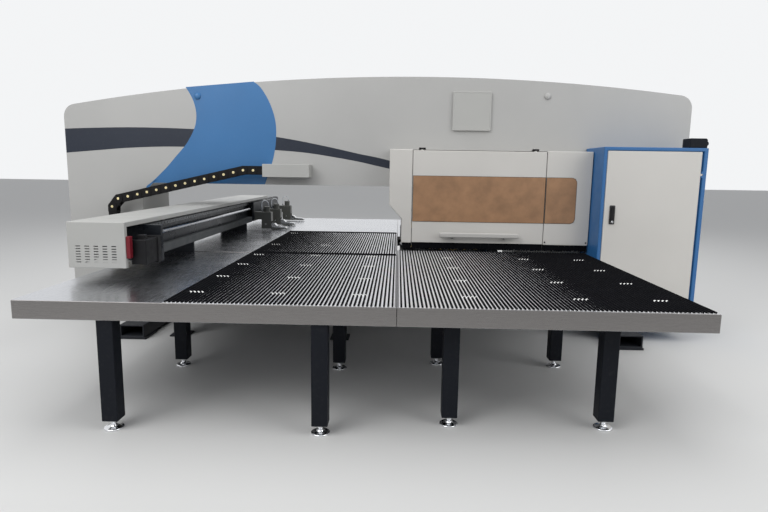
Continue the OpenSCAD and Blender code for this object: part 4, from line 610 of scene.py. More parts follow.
def fold_weights(mesh, fold):
    """A bevel weight for each edge: 1 on a bend of 28 degrees or more between two wide faces, less
    where a face is narrower than three folds (weight = 0.3 * narrowest reach / fold), 0 on flat
    edges."""
    co = np.zeros(len(mesh.vertices) * 3)
    mesh.vertices.foreach_get("co", co)
    co = co.reshape(-1, 3)
    reach = np.full(len(mesh.edges), np.inf)
    normal_sum = np.zeros((len(mesh.edges), 3))
    count = np.zeros(len(mesh.edges), int)
    edge_of_loop = np.zeros(len(mesh.loops), int)
    mesh.loops.foreach_get("edge_index", edge_of_loop)
    for face in mesh.polygons:
        v, n = co[list(face.vertices)], np.array(face.normal)
        step = np.roll(v, -1, 0) - v
        step /= np.maximum(np.linalg.norm(step, axis=1, keepdims=True), 1e-12)
        into = np.cross(n, step)
        depth = np.einsum("ijk,ik->ij", v[None] - v[:, None], into).max(1)
        edges = edge_of_loop[face.loop_start:face.loop_start + face.loop_total]
        np.minimum.at(reach, edges, depth)
        np.add.at(normal_sum, edges, n)
        np.add.at(count, edges, 1)
    bent = (np.linalg.norm(normal_sum, axis=1) / 2 < math.cos(math.radians(14))) & (count == 2)
    return np.where(bent, np.clip(0.3 * reach / fold, 0, 1), 0)


def softened(node, finish, fold, segments=3, side_finish=None):
    """A copy of a CAD node with round folds. side_finish, if given, goes on the upright faces."""
    bm = bmesh.new()
    bm.from_mesh(frame["nodes"][node].data)
    bmesh.ops.remove_doubles(bm, verts=bm.verts, dist=2e-5)
    bmesh.ops.recalc_face_normals(bm, faces=bm.faces)
    bmesh.ops.dissolve_limit(bm, angle_limit=math.radians(0.5), verts=bm.verts, edges=bm.edges)
    mesh = bpy.data.meshes.new(node + "_formed")
    bm.to_mesh(mesh)
    bm.free()
    obj = bpy.data.objects.new(mesh.name, mesh)
    bpy.context.collection.objects.link(obj)
    weights = mesh.attributes.new("bevel_weight_edge", "FLOAT", "EDGE")
    weights.data.foreach_set("value", fold_weights(mesh, fold).astype(np.float32))
    bevel = obj.modifiers.new("fold", "BEVEL")
    bevel.limit_method, bevel.width, bevel.segments = "WEIGHT", fold, segments
    bevel.use_clamp_overlap, bevel.miter_outer = False, "MITER_SHARP"
    even = obj.modifiers.new("even", "WEIGHTED_NORMAL")
    even.keep_sharp = False
    mesh.polygons.foreach_set("use_smooth", np.ones(len(mesh.polygons), bool))
    dress(obj, body_of_node[node], finish, slot_of_node[node], node)
    if side_finish:
        mesh.materials.append(side_finish)
        normals = np.zeros(len(mesh.polygons) * 3)
        mesh.polygons.foreach_get("normal", normals)
        upright = np.abs(normals.reshape(-1, 3)[:, 2]) < 0.5
        mesh.polygons.foreach_set("material_index", upright.astype(np.int32))
    return obj


folded = {"guard_housing": 0.007, "guard_door": 0.006, "guard_rear": 0.007, "cabinet_body": 0.006,
          "cabinet_door": 0.006, "beam_cover": 0.005, "end_cover": 0.005, "chain_tray": 0.004,
          "sign_panel": 0.005, "chain_bracket": 0.003, "throat_lining": 0.003, "duct_box": 0.006}
machined = {"table_frames": 0.003, "table_legs": 0.005, "mid_table_stand": 0.004,
            "base_soles": 0.004, "guide_bench": 0.006, "y_rails": 0.001, "y_screw_supports": 0.003,
            "y_motor": 0.005, "x_motor": 0.005, "belt_case": 0.004, "red_buffer": 0.004,
            "cross_beam": 0.004, "saddle": 0.004, "clamp_carriage": 0.003, "clamp_bodies": 0.004,
            "upper_jaws": 0.002, "upper_bearing_housing": 0.006, "lower_bearing_housing": 0.006,
            "ram_guide": 0.004, "upper_turret": 0.004, "lower_turret": 0.004,
            "cabinet_components": 0.003, "punches": 0.0015, "dies": 0.001, "ram": 0.002,
            "x_rails": 0.001, "main_frame": 0.004}
for node, fold in {**folded, **machined}.items():
    softened(node, node_finish[node], fold, 4 if node in folded else 3)
decks = ("deck_near_left", "deck_near_right", "deck_mid_left", "decks_far")
# The decks' upright faces take the darker copy of the stainless, as painted shade on the sides.
for node in decks:
    softened(node, stainless, 0.0035, side_finish=stainless_shaded_sides)
print("softened", len(folded) + len(machined) + len(decks))

# %% [markdown]
# ## Brush beds and ball units
# A turret press slides its sheets on strips of stiff black bristles, set in a bright plate, with
# short rows of white ball units that carry heavy sheets. Each strip is one closed surface: a
# section carried along Y whose height and width waver from tuft to tuft. It drops to the plate
# where balls stand. Dull plates close the joint between the front tables, and dark strips along
# the slots that the beam runs in are painted shade, standing for the shadow down in the slots.

# %% Brush beds
strip_pitch, strip_w = 0.025, 0.0116
table_top, sheet_level = 0.820, 0.830
tuft, bed_margin = 0.0115, 0.002
notch_half, notch_edges = 0.0131, (-0.0135, -0.0128, 0.0128, 0.0135)
rng = np.random.default_rng(11)
ball_low, ball_high = solids_of("ball_transfers")
ball_at = (ball_low[:, :2] + ball_high[:, :2]) / 2


def strip_section(x, y, height, width):
    """Six points of a strip's section at each (strip, place): foot, shoulder and a slightly
    narrower crest on both sides, point = (x + across * width, y, table_top + up * height)."""
    across = np.array([-0.5, -0.49, -0.36, 0.36, 0.49, 0.5])
    up = np.array([-0.02, 0.72, 1.0, 1.0, 0.72, -0.02])
    px = x[:, None, None] + across * width[..., None]
    pz = table_top + up * height[..., None]
    py = np.broadcast_to(y[None, :, None], px.shape)
    return np.stack([px, py, pz], -1)


for bed in ("brush_bed_near_left", "brush_bed_near_right", "brush_bed_mid_left"):
    low, high = corners(bed)
    count = int((high[0] - low[0] - strip_w) / strip_pitch + 1e-6)
    first = low[0] + (high[0] - low[0] - count * strip_pitch) / 2
    x = first + strip_pitch * np.arange(count + 1)
    inside = ((ball_at > low[:2]) & (ball_at < high[:2])).all(1)
    balls = ball_at[inside]
    edges = np.concatenate([balls[:, 1] + edge for edge in notch_edges])
    tufts = np.arange(low[1] + bed_margin, high[1] - bed_margin, tuft)
    y = np.unique(np.round(np.concatenate([tufts, [high[1] - bed_margin], edges]), 4))
    height = (sheet_level - table_top) * (0.985 - 0.10 * rng.random((len(x), len(y))) ** 2)
    width = strip_w * (1.0 + 0.05 * (rng.random((len(x), len(y))) - 0.5))
    for bx, by in balls:
        row = np.argmin(np.abs(x - bx))
        height[row, np.abs(y - by) < notch_half] = 0.0003
    co = strip_section(x, y, height, width)
    strip_faces = grid_quads(len(y), 6, wrap_cols=True)
    ends = np.stack([np.arange(6)[::-1], (len(y) - 1) * 6 + np.arange(6)])
    steps = np.arange(len(x))[:, None, None] * len(y) * 6
    faces = [(strip_faces[None] + steps).reshape(-1, 4), (ends[None] + steps).reshape(-1, 6)]
    strips = outward(add_mesh(bed.replace("brush_bed", "bristles"), [(co.reshape(-1, 3), faces)]))
    dress(strips, "frame", bristle_black, "bristle", bed)
    plate_outline = rounded(low[0], high[0], low[1], high[1], 0.003, 4)
    plate = outward(add_mesh(bed.replace("brush_bed", "bed_plate"),
                             [prism_part(plate_outline, low[2], table_top, 0.0006, "z")]))
    dress(plate, "frame", base_plate, "stainless")
    print(bed, len(x), "strips,", len(y), "tufts, triangles", len(x) * len(y) * 12)

joint_plates = []
for bed, x0, x1 in (("brush_bed_near_left", 0.2565, 0.2677), ("brush_bed_mid_left", 0.2565, 0.2677),
                    ("brush_bed_near_right", 0.2703, 0.2815)):
    low, high = corners(bed)
    joint_plates.append(prism_part(rounded(x0, x1, low[1], high[1], 0.001, 3), table_top - 0.0005,
                                   table_top + 0.0004, 0.0001, "z"))
dress(outward(add_mesh("bed_edge_plates", joint_plates)), "frame", joint_plate, "stainless")

# The dark strips along the slots are painted shade: black bristle strips laid where the slots show
# their shadow.
shade_strip_w, shade_strip_gap, shade_strip_pitch = 0.011, 0.0005, 0.048
low, high = corners("brush_bed_mid_left")
near_shade_strip, far_shade_strip = low[1] - shade_strip_gap - shade_strip_w, high[1] + shade_strip_gap
slot_shade_strips = []
for y0 in (near_shade_strip - shade_strip_pitch, near_shade_strip, far_shade_strip, far_shade_strip + shade_strip_pitch):
    outline = rounded(low[0], high[0], y0, y0 + shade_strip_w, 0.001, 3)
    slot_shade_strips.append(prism_part(outline, table_top - 0.0005, table_top + 0.0085, 0.0008, "z"))
dress(outward(add_mesh("slot_shade_strips", slot_shade_strips)), "frame", bristle_black, "bristle")

socket_profile = [(0, 0), (0.0122, 0), (0.0122, 0.0026), (0.0112, 0.0036), (0.0100, 0.0040),
                  (0, 0.0040)]
ball_r = 0.0098
arc = np.linspace(0, np.pi / 2, 6)
dome_points = [(ball_r * math.cos(a), ball_r * math.sin(a)) for a in arc[:-1]]
ball_profile = [(0, 0), *dome_points, (0, ball_r)]
places = np.column_stack([ball_at, np.full(len(ball_at), table_top)])
socket = repeated(lathe_part(socket_profile, sides=12), places)
sockets = outward(add_mesh("ball_sockets", [socket]))
dress(sockets, "frame", ball_white, "ball_white", "ball_transfers")
dome = repeated(lathe_part(ball_profile, sides=14), places)
dress(outward(add_mesh("support_balls", [dome], smooth=True)), "frame", ball_white, "ball_white")
print("ball units", len(places))

# %% [markdown]
# ## The energy chain
# The chain's links carry the beam's cables in a curve from the tray on the frame to the beam. Its
# middle line is four plain pieces: a level start, a soft bend into a slope, a half turn, and a
# level end. Every link is the same set of plates, bars and pins, placed by one array of turns and
# shifts. The chain bends between the frame and the beam, so it is given no body and is built in
# one pose.

# %% Energy chain
link_l, link_h, chain_w, chain_y = 0.102, 0.088, 0.090, -0.460
slope, soft_r, bend_r = math.radians(13.3), 0.400, 0.150
start_l, slope_l, tray_end, chain_top = 0.150, 1.234, -1.108, 1.595


def chain_place(s):
    """Places and headings on the chain's middle line at the lengths s from the tray: a straight
    piece is start + s * direction, an arc is centre + radius * (sin, cos) of the angle turned so
    far."""
    s = np.asarray(s, float)
    s2 = start_l + soft_r * slope
    s3 = s2 + slope_l
    s4 = s3 + bend_r * (math.pi - slope)
    p1 = np.array([tray_end - start_l, chain_top])
    p2 = p1 + soft_r * np.array([-math.sin(slope), math.cos(slope) - 1])
    p3 = p2 - slope_l * np.array([math.cos(slope), math.sin(slope)])
    c4 = p3 + bend_r * np.array([math.sin(slope), -math.cos(slope)])
    turned = np.clip((s - start_l) / soft_r, 0, slope)
    heading = math.pi + turned + np.clip((s - s3) / bend_r, 0, math.pi - slope)
    stretches = [s < start_l, s < s2, s < s3, s < s4]
    x = np.select(stretches, [tray_end - s, p1[0] - soft_r * np.sin(turned),
                              p2[0] - (s - s2) * math.cos(slope), c4[0] + bend_r * np.sin(heading)],
                  c4[0] + (s - s4))
    z = np.select(stretches, [chain_top + 0 * s, p1[1] - soft_r * (1 - np.cos(turned)),
                              p2[1] - (s - s2) * math.sin(slope), c4[1] - bend_r * np.cos(heading)],
                  c4[1] - bend_r + 0 * s)
    return x, z, heading


def chain_frames(s):
    """Shifts and turns (about Y) that carry a piece from its own frame to the lengths s of the
    chain."""
    x, z, heading = chain_place(s)
    turns = np.zeros((len(x), 3, 3))
    turns[:, 0, 0], turns[:, 0, 2] = np.cos(heading), -np.sin(heading)
    turns[:, 2, 0], turns[:, 2, 2], turns[:, 1, 1] = np.sin(heading), np.cos(heading), 1
    return np.column_stack([x, np.full(len(x), chain_y), z]), turns


links, h, half_l = 21, link_h / 2, link_l / 2
first_pin, chain_end = 0.0953, 2.3303
at = first_pin + (np.arange(links) + 0.5) * link_l
last_pin = float(at[-1]) + half_l
pin_at = np.append(at, last_pin + half_l)
outer_plate = rounded(-half_l - h + 0.002, 0.0035, -h, h, [0.040, 0.007, 0.007, 0.040], 9)
inner_plate = rounded(-0.0035, half_l + h - 0.002, -h, h, [0.007, 0.040, 0.040, 0.007], 9)
tray_plate = rounded(0.0008 - first_pin, h - 0.002, -h, h, [0.003, 0.040, 0.040, 0.003], 9)
bracket_plate = rounded(0.002 - h, chain_end - last_pin, -h, h, [0.040, 0.003, 0.003, 0.040], 9)
panel = rounded(-half_l - 0.006, -0.008, 0.014 - h, h - 0.014, [0.020, 0.004, 0.004, 0.020], 6)
boss_profile = np.array([(0, 0), (0.0195, 0), (0.0195, 0.0026), (0.0180, 0.0030), (0.0133, 0.0030),
                         (0.0133, 0.0010), (0, 0.0010)])
pin_profile = np.array([(0, 0.0008), (0.0125, 0.0008), (0.0125, 0.0026), (0.0105, 0.0033),
                        (0.0040, 0.0031), (0.0030, 0.0022), (0, 0.0020)])
plate_gap, outer_rim, inner_rim = 0.0002, 0.0015, 0.0012


def plate_between(outline, a, b, rim, gap=0.0):
    """A plate between two depths given in either order, with a gap left at both of its faces."""
    return prism_part(outline, min(a, b) + gap, max(a, b) - gap, rim)


placed, pins = [], []
for side in (-1, 1):
    out, mid, inner = [side * (chain_w / 2 - depth) for depth in (0, 0.007, 0.0145)]
    pivot = (-half_l, out, 0)
    for part, where in (
            (plate_between(outer_plate, out, mid, outer_rim), at),
            (plate_between(inner_plate, mid, inner, inner_rim, plate_gap), at),
            (plate_between(panel, out, out + side * 0.0022, 0.0008), at),
            (lathe_part(boss_profile * [1, side], pivot, "y", 20), pin_at),
            (plate_between(tray_plate, mid, inner, inner_rim, plate_gap), [first_pin]),
            (plate_between(bracket_plate, out, mid, outer_rim), [last_pin])):
        placed.append(repeated(part, *chain_frames(where)))
    pins.append(repeated(lathe_part(pin_profile * [1, side], pivot, "y", 16),
                         *chain_frames(pin_at)))
bar_y = chain_w / 2 - 0.0146
for z0 in (-h, h - 0.010):
    bar = rounded(-0.0095, 0.0095, z0, z0 + 0.009, 0.0025, 3)
    placed.append(repeated(prism_part(bar, -bar_y, bar_y, 0.001), *chain_frames(at)))
chain = outward(add_mesh("chain_links", placed))
dress(chain, None, chain_black, "chain_black", "energy_chain")
pin_caps = outward(add_mesh("chain_pins", pins))
dress(pin_caps, None, pin_cream, "tool_brass")
run = np.linspace(0.002, chain_end - 0.002, 260)
run_x, run_z, run_heading = chain_place(run)
cables = []
for across, up, radius in ((-0.020, -0.010, 0.0075), (-0.003, -0.012, 0.0055),
                           (0.013, -0.008, 0.0085), (-0.012, 0.008, 0.0045),
                           (0.004, 0.009, 0.0065)):
    path = np.column_stack([run_x - up * np.sin(run_heading), np.full(len(run), chain_y + across),
                            run_z + up * np.cos(run_heading)])
    cables.append(tube_part(path, radius, 8))
bundle = outward(add_mesh("chain_cables", cables, smooth=True))
dress(bundle, None, gasket_black, "chain_black")
for piece in (chain, pin_caps, bundle):
    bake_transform(piece)
print("chain", links, "links, ends at", round(float(run_x[-1]), 3), round(float(run_z[-1]), 3))

# %% [markdown]
# ## The beam's moving parts
# The ball screws along the beam and under the table have a rounded thread, and the lower rail
# hides under a folded bellows, which on the machine closes up as the clamps travel; here it is
# built at one length. A thread is a tube whose radius goes up and down with the angle and the
# length together.


# %% Screws, rails and bellows
def thread_part(radius, depth, lead, start, stop, centre, axis, sides=14, per_turn=8):
    """A closed threaded bar: r = radius - depth * ((1 + cos(2 pi length / lead - angle)) / 2) ** 2,
    so its groove goes once round in each lead."""
    length = np.linspace(start, stop, int((stop - start) / lead * per_turn))
    angle = np.linspace(0, 2 * np.pi, sides, endpoint=False)
    phase = 2 * np.pi * length[:, None] / lead - angle[None]
    r = radius - depth * (0.5 + 0.5 * np.cos(phase)) ** 2
    along = length[:, None] + 0 * angle
    ring = np.stack([r * np.cos(angle), r * np.sin(angle), along], -1).reshape(-1, 3)
    order = {"x": [2, 0, 1], "y": [1, 2, 0]}[axis]
    ends = np.stack([np.arange(sides)[::-1], (len(length) - 1) * sides + np.arange(sides)])
    return ring[:, order] + np.array(centre), [grid_quads(len(length), sides, wrap_cols=True), ends]


axis_number = {"x": 0, "y": 1}
for node, axis, lead, depth, bare_l in (("x_screw", "y", 0.025, 0.0022, 0.040),
                                        ("y_screw", "x", 0.040, 0.0030, 0.030)):
    low, high = corners(node)
    k = axis_number[axis]
    centre, radius = (low + high) / 2, (high[2] - low[2]) / 2
    centre[k] = 0
    bar = thread_part(radius, depth, lead, low[k] + bare_l, high[k] - bare_l, centre, axis)
    core = radius * 0.74
    ends = [lathe_part([(0, a), (core, a), (core, b), (0, b)], centre, axis, 20)
            for a, b in ((low[k], low[k] + bare_l + 0.002), (high[k] - bare_l - 0.002, high[k]))]
    screw = outward(add_mesh(node.replace("screw", "thread"), [bar] + ends, smooth=True))
    dress(screw, body_of_node[node], screw_steel, "bright_steel", node)
    print(node, "triangles", len(screw.data.polygons) * 2)

plug_profile = [(0, 0), (0.0075, 0), (0.0075, 0.0004), (0.0062, 0.0006), (0.0055, 0.0001),
                (0, 0.0001)]


def rail_plugs(name, node, axis, face, pitch, body, slot):
    """The plugs over a rail's screws, one each pitch along the axis, on its +X or +Z face."""
    k = axis_number[axis]
    places = []
    for low, high in zip(*solids_of(node)):
        middle = (low + high) / 2
        along = np.arange(low[k] + 0.03, high[k] - 0.02, pitch)
        place = np.empty((len(along), 3))
        place[:] = [high[0], 0, middle[2]] if face == "x" else [0, middle[1], high[2]]
        place[:, k] = along
        places.append(place)
    part = repeated(lathe_part(plug_profile, axis=face, sides=12), np.concatenate(places))
    dress(outward(add_mesh(name, [part])), body, motor_black, slot)


rail_plugs("rail_plugs", "x_rails", "y", "x", 0.060, "beam", "beam_dark")
rail_plugs("guide_plugs", "y_rails", "x", "z", 0.080, "frame", "motor_black")

bellows_low, bellows_high = solids_of("beam_bellows")
fold_pitch, fold_depth, fold_round, cloth_t = 0.018, 0.011, 0.006, 0.0016


def bellows_part(low, high):
    """A folded sleeve round three sides of the rail, open towards the beam: the section's points
    move inwards by a triangle wave of the length, fold_depth where two folds meet and 0 in the
    middle of each."""
    x_in, x_out, z0, z1 = low[0], high[0], low[2], high[2]
    count = max(1, round((high[1] - low[1]) / fold_pitch))
    y = np.linspace(low[1], high[1], 2 * count + 1)
    wave = np.where(np.arange(len(y)) % 2, 0.0, fold_depth)
    x_bend = x_out - fold_round
    outer = np.array([(x_in, z0), (x_bend, z0), (x_out, z0 + fold_round), (x_out, z1 - fold_round),
                      (x_bend, z1), (x_in, z1)])
    inward = np.array([(0, 1), (-0.7, 0.7), (-1, 0.7), (-1, -0.7), (-0.7, -0.7), (0, -1)])
    outside = outer[None] + wave[:, None, None] * inward[None]
    inside = outside + cloth_t * inward[None]
    ring = np.concatenate([outside, inside[:, ::-1]], axis=1)
    co = np.stack([ring[..., 0], np.broadcast_to(y[:, None], ring.shape[:2]), ring[..., 1]], -1)
    rows, n = ring.shape[:2]
    quads = grid_quads(rows, n, wrap_cols=True)
    return co.reshape(-1, 3), np.concatenate([quads] + flat_ends(rows, n))


long_one = int(np.argmax(bellows_high[:, 1] - bellows_low[:, 1]))
sleeve_low, sleeve_high = bellows_low[long_one], bellows_high[long_one]
sleeve = outward(add_mesh("rail_bellows", [bellows_part(sleeve_low, sleeve_high)]))
dress(sleeve, "beam", bellows_cloth, "bellows_navy", "beam_bellows")
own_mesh(sleeve)

# %% [markdown]
# ## Clamps
# Each clamp has a grey-green block with an air cylinder on top, cap screws, and a silver hose
# between two plated fittings with release rings. The hose goes up, turns over and comes back
# down: two straight lines and half a circle. It is a fixed length of tube, built as a round tube
# along that path.

# %% Clamp fittings and hoses
clamp_low, clamp_high = solids_of("clamp_bodies")
clamp_y = (clamp_low[:, 1] + clamp_high[:, 1]) / 2
top_z = float(clamp_high[0][2])
hose_low, hose_high = solids_of("clamp_hoses")
hose_r, loop_r = 0.005, 0.044
block_x0, block_x1, block_top = -1.520, -1.392, 1.050
leg_x1 = float(hose_high[0][0]) - hose_r
leg_x0 = leg_x1 - 2 * loop_r
cylinder_profile = [(0, 0.0), (0.0400, 0.0), (0.0400, 0.008), (0.0385, 0.0095), (0.0385, 0.052),
                    (0.0400, 0.0535), (0.0400, 0.066), (0.0375, 0.0695), (0.012, 0.0695),
                    (0.011, 0.0655), (0, 0.0655)]
fitting_profile = [(0, 0), (0.0098, 0), (0.0098, 0.010), (0.0086, 0.011), (0.0086, 0.0155),
                   (0.0068, 0.018), (0, 0.018)]
ring_profile = [(0, 0.017), (0.0082, 0.017), (0.0082, 0.0195), (0.0072, 0.0210), (0, 0.0210)]
screws, rings, fittings, cylinders = [], [], [], []
for y in clamp_y:
    for dx in (0.016, 0.112):
        for dy in (-0.040, 0.040):
            screws.append(screw_head(0.0075, 0.006, [block_x0 + dx, y + dy, block_top]))
    cylinders.append(lathe_part(cylinder_profile, ((block_x0 + block_x1) / 2, y, block_top)))
    for x, z in ((leg_x1, top_z - 0.004), (leg_x0, 1.0535)):
        fittings.append(lathe_part(fitting_profile, (x, y, z), sides=6))
        rings.append(lathe_part(ring_profile, (x, y, z), sides=16))
for label, parts, finish, slot in (("clamp_screws", screws, black_steel, "clamp_dark"),
                                   ("clamp_cylinders", cylinders, olive_grey, "clamp_dark"),
                                   ("hose_fittings", fittings, bright_plate, "chrome"),
                                   ("hose_rings", rings, motor_black, "motor_black")):
    dress(outward(add_mesh(label, parts)), "carriage", finish, slot)
for i, y in enumerate(clamp_y):
    start_z, end_z, turn_z = top_z + 0.010, 1.068, float(hose_high[0][2]) - hose_r - loop_r
    angle = np.linspace(0, np.pi, 25)
    up = np.array([(leg_x1, y, z) for z in np.linspace(start_z, turn_z, 5)])
    over = np.column_stack([leg_x1 - loop_r + loop_r * np.cos(angle), np.full(25, y),
                            turn_z + loop_r * np.sin(angle)])
    back = np.array([(leg_x0, y, z) for z in np.linspace(turn_z, end_z, 5)])
    path = np.concatenate([up[:-1], over, back[1:]])
    hose = outward(add_mesh(f"clamp_hose_{i + 1}", [tube_part(path, hose_r, 14)], smooth=True))
    dress(hose, "carriage", hose_silver, "hose_silver", *(["clamp_hoses"] if i == 0 else []))

# %% [markdown]
# ## The guard's windows, hinges and handle
# The windows are clear plastic that still has its brown masking paper on, set in a thin dark
# seal. The right one has round corners. The hinges are black sleeves on the top edge, the door is
# lifted by a light bar on two feet, and rows of black bristles hang under the guard, each one a
# waving closed sheet. These bristle rows are painted shade: dark sheets that stand for the shadow
# under the guard.

# %% Guard details
def window(label, node, body, radii):
    """A paper-covered pane with rounded corners, a little proud of a dark seal that shows as a thin
    line."""
    low, high = corners(node)
    outline = rounded(low[0], high[0], low[2], high[2], radii, 8)
    seal = prism_part(outline, low[1] + 0.0008, high[1], 0.0004)
    dress(outward(add_mesh(label + "_seal", [seal])), body, gasket_black, "motor_black")
    pane = prism_part(inset(outline, 0.0032), low[1], high[1] - 0.0005, 0.0006)
    dress(outward(add_mesh(label, [pane])), body, film_brown, "brown_pane", node)


window("door_pane", "door_window", "guard_flap", 0.002)
window("side_pane", "guard_side_window", "frame", [0.002, 0.055, 0.055, 0.002])

guard_front, door_front = -0.585, -0.5975
handle_low, handle_high = corners("door_handle")
bar_y0, bar_y1, bar_z0, bar_z1 = float(handle_low[1]) + 0.001, -0.622, 0.962, 1.012
bar_y, bar_z = (bar_y0 + bar_y1) / 2, (bar_z0 + bar_z1) / 2
bar_outline = rounded(bar_y0, bar_y1, bar_z0, bar_z1, 0.013, 8)
bar = prism_part(bar_outline, handle_low[0], handle_high[0], 0.0025, "x")
bar = outward(add_mesh("handle_bar", [bar]))
dress(bar, "guard_flap", handle_paint, "handle_alu", "door_handle")
feet, foot_screws = [], []
for x in (0.815, 1.329):
    outline = rounded(x - 0.019, x + 0.019, bar_z - 0.046, bar_z + 0.012, 0.012, 6)
    feet.append(prism_part(outline, door_front, guard_front, 0.002))
    post = rounded(x - 0.011, x + 0.011, bar_z - 0.014, bar_z + 0.010, 0.006, 5)
    feet.append(prism_part(post, bar_y, door_front + 0.0015, 0.001))
    foot_screws.append(screw_head(0.0055, 0.004, [x, door_front, bar_z - 0.034], "y"))
dress(outward(add_mesh("handle_feet", feet)), "guard_flap", handle_paint, "handle_alu")
dress(outward(add_mesh("handle_screws", foot_screws)), "guard_flap", black_steel, "motor_black")

sleeves, moving_sleeves = [], []
hinge_y, hinge_z, hinge_l, knuckle_gap = -0.573, 1.833, 0.066, 0.0006
leaf_z0, leaf_z1 = 1.8235, 1.8278
for x in (0.465, 1.575):
    for k, target in ((0, sleeves), (1, moving_sleeves), (2, sleeves)):
        a = x + hinge_l * k / 3 + knuckle_gap
        b = x + hinge_l * (k + 1) / 3 - knuckle_gap
        target.append(lathe_part([(0, a), (0.0086, a), (0.0093, a + 0.0008), (0.0093, b - 0.0008),
                                  (0.0086, b), (0, b)], (0, hinge_y, hinge_z), "x", 24))
    leaf = rounded(x - 0.001, x + hinge_l + 0.001, hinge_y + 0.004, -0.536, 0.004, 4)
    sleeves.append(prism_part(leaf, leaf_z0, leaf_z1, 0.0006, "z"))
    for dx in (0.012, 0.054):
        sleeves.append(screw_head(0.0042, 0.0026, [x + dx, -0.547, leaf_z1]))
dress(outward(add_mesh("hinge_sleeves_fixed", sleeves)), "frame", motor_black, "motor_black")
moving = outward(add_mesh("hinge_sleeves_door", moving_sleeves))
dress(moving, "guard_flap", motor_black, "motor_black")

guard_screws = [screw_head(0.0080, 0.0045, [x, guard_front, 0.925], "y") for x in (1.742, 2.150)]
dress(outward(add_mesh("guard_screws", guard_screws)), "frame", motor_black, "motor_black")

# The bristle rows hung under the guard are painted shade: dark sheets where the guard's shadow
# falls.
hem_z, tuft_pitch, shade_curtain_y, shade_curtain_t = 0.832, 0.006, -0.575, 0.010


def shade_curtain(label, body, x0, x1, top):
    """A hanging row of black bristles that stands as painted shade under the guard: rows of points
    over x, four heights from top to a ragged hem whose depth wavers from tuft to tuft, with a small
    sway in y; closed between its two faces."""
    x = np.linspace(x0, x1, int((x1 - x0) / tuft_pitch) + 2)
    down = np.array([0.0, 0.35, 0.75, 1.0])
    hem = top - hem_z - 0.014 * rng.random(len(x)) ** 2
    sway = 0.0035 * np.sin(x * 310.0) + 0.003 * (rng.random(len(x)) - 0.5)
    face = np.stack([np.broadcast_to(x[:, None], (len(x), 4)), shade_curtain_y + sway[:, None] * down,
                     top - hem[:, None] * down], -1)
    back = face + [0, shade_curtain_t, 0]
    ring = np.concatenate([face, back[:, ::-1]], axis=1)
    ends = np.stack([np.arange(8), (len(x) - 1) * 8 + np.arange(8)])
    faces = [grid_quads(len(x), 8, wrap_cols=True), ends]
    dress(outward(add_mesh(label, [(ring.reshape(-1, 3), faces)])), body, bristle_black, "bristle")


shade_curtain("shade_curtain_left", "frame", 0.314, 0.4055, 0.899)
shade_curtain("shade_curtain_door", "guard_flap", 0.4115, 1.7185, 0.905)
shade_curtain("shade_curtain_right", "frame", 1.7245, 2.164, 0.899)
print("guard: two panes, handle bar at", round(bar_y, 4), bar_z)

# %% [markdown]
# ## The cabinet's lock
# A flat black swing lever lies in a black plate, with a bright key cylinder at its lower end.

# %% Cabinet lock
lock_x, pivot_z, plate_front = 2.290, 1.164, -0.8535
lever_low, lever_high = corners("lock_handle")
plate_outline = rounded(lock_x - 0.027, lock_x + 0.027, 1.139, 1.319, 0.010, 6)
plate = prism_part(plate_outline, plate_front, -0.8478, 0.0012)
dress(outward(add_mesh("lock_plate", [plate])), "cabinet_leaf", cover_dark, "motor_black")
half_w = 0.0155
lever_outline = rounded(lock_x - half_w, lock_x + half_w, pivot_z - half_w, lever_high[2], 0.0150,
                        8)
lever = prism_part(lever_outline, lever_low[1], lever_low[1] + 0.012, 0.003)
spindle_y = lever_low[1] + 0.010
spindle = lathe_part([(0, spindle_y), (0.0135, spindle_y), (0.0135, plate_front),
                      (0.0078, plate_front), (0.0078, -0.834), (0, -0.834)],
                     (lock_x, 0, pivot_z), "y", 24)
handle = outward(add_mesh("lock_lever", [lever, spindle]))
dress(handle, "lock_lever", motor_black, "motor_black", "lock_handle")
key_profile = np.array([(0, 0), (0.0105, 0), (0.0105, 0.0016), (0.0092, 0.0026), (0.0030, 0.0026),
                        (0.0026, 0.0006), (0, 0.0006)]) * [1, -1]
key = lathe_part(key_profile, (lock_x, lever_low[1], pivot_z), "y", 24)
dress(outward(add_mesh("key_cylinder", [key])), "lock_lever", bright_plate, "chrome")

# %% [markdown]
# ## Levelling feet
# A plated pad with a swivel neck, a threaded spindle into the leg, and a chamfered lock nut.

# %% Feet
foot_low, foot_high = solids_of("levelling_feet")
foot_at = (foot_low + foot_high) / 2 * [1, 1, 0]
pad_arc = np.linspace(0, np.pi / 2, 6)[1:]
pad_r, pad_edge = 0.059, 0.0085
pad_dome = [(pad_r - 0.022 * (1 - math.cos(a)), pad_edge + 0.0065 * math.sin(a)) for a in pad_arc]
pad_profile = [(0, 0), (0.0575, 0), (pad_r, 0.0015), (pad_r, pad_edge), *pad_dome, (0.028, 0.0165),
               (0.023, 0.019), (0.021, 0.026), (0.0150, 0.030), (0, 0.030)]
nut_profile = [(0, 0.043), (0.024, 0.043), (0.0268, 0.0455), (0.0268, 0.0595), (0.024, 0.062),
               (0, 0.062)]
co, faces = thread_part(0.015, 0.0016, 0.0035, 0.028, 0.074, (0, 0, 0), "x", 16, 6)
stud = (co[:, [1, 2, 0]], faces)
pad, nut = lathe_part(pad_profile, sides=36), lathe_part(nut_profile, sides=6)
for label, part, smooth, nodes in (("foot_pads", pad, True, ["levelling_feet"]),
                                   ("foot_nuts", nut, False, []), ("foot_studs", stud, True, [])):
    piece = outward(add_mesh(label, [repeated(part, foot_at)], smooth))
    dress(piece, "frame", bright_plate, "chrome", *nodes)
print("feet", len(foot_at))

# %% [markdown]
# ## The studio
# A pale floor and a white surround, three broad soft lamps and a dim even sky. The surround is
# white only to the camera and to reflections, so it adds no light to the paint. The lamps behind
# and above the machine don't show in reflections, so the polished decks don't clip to white.


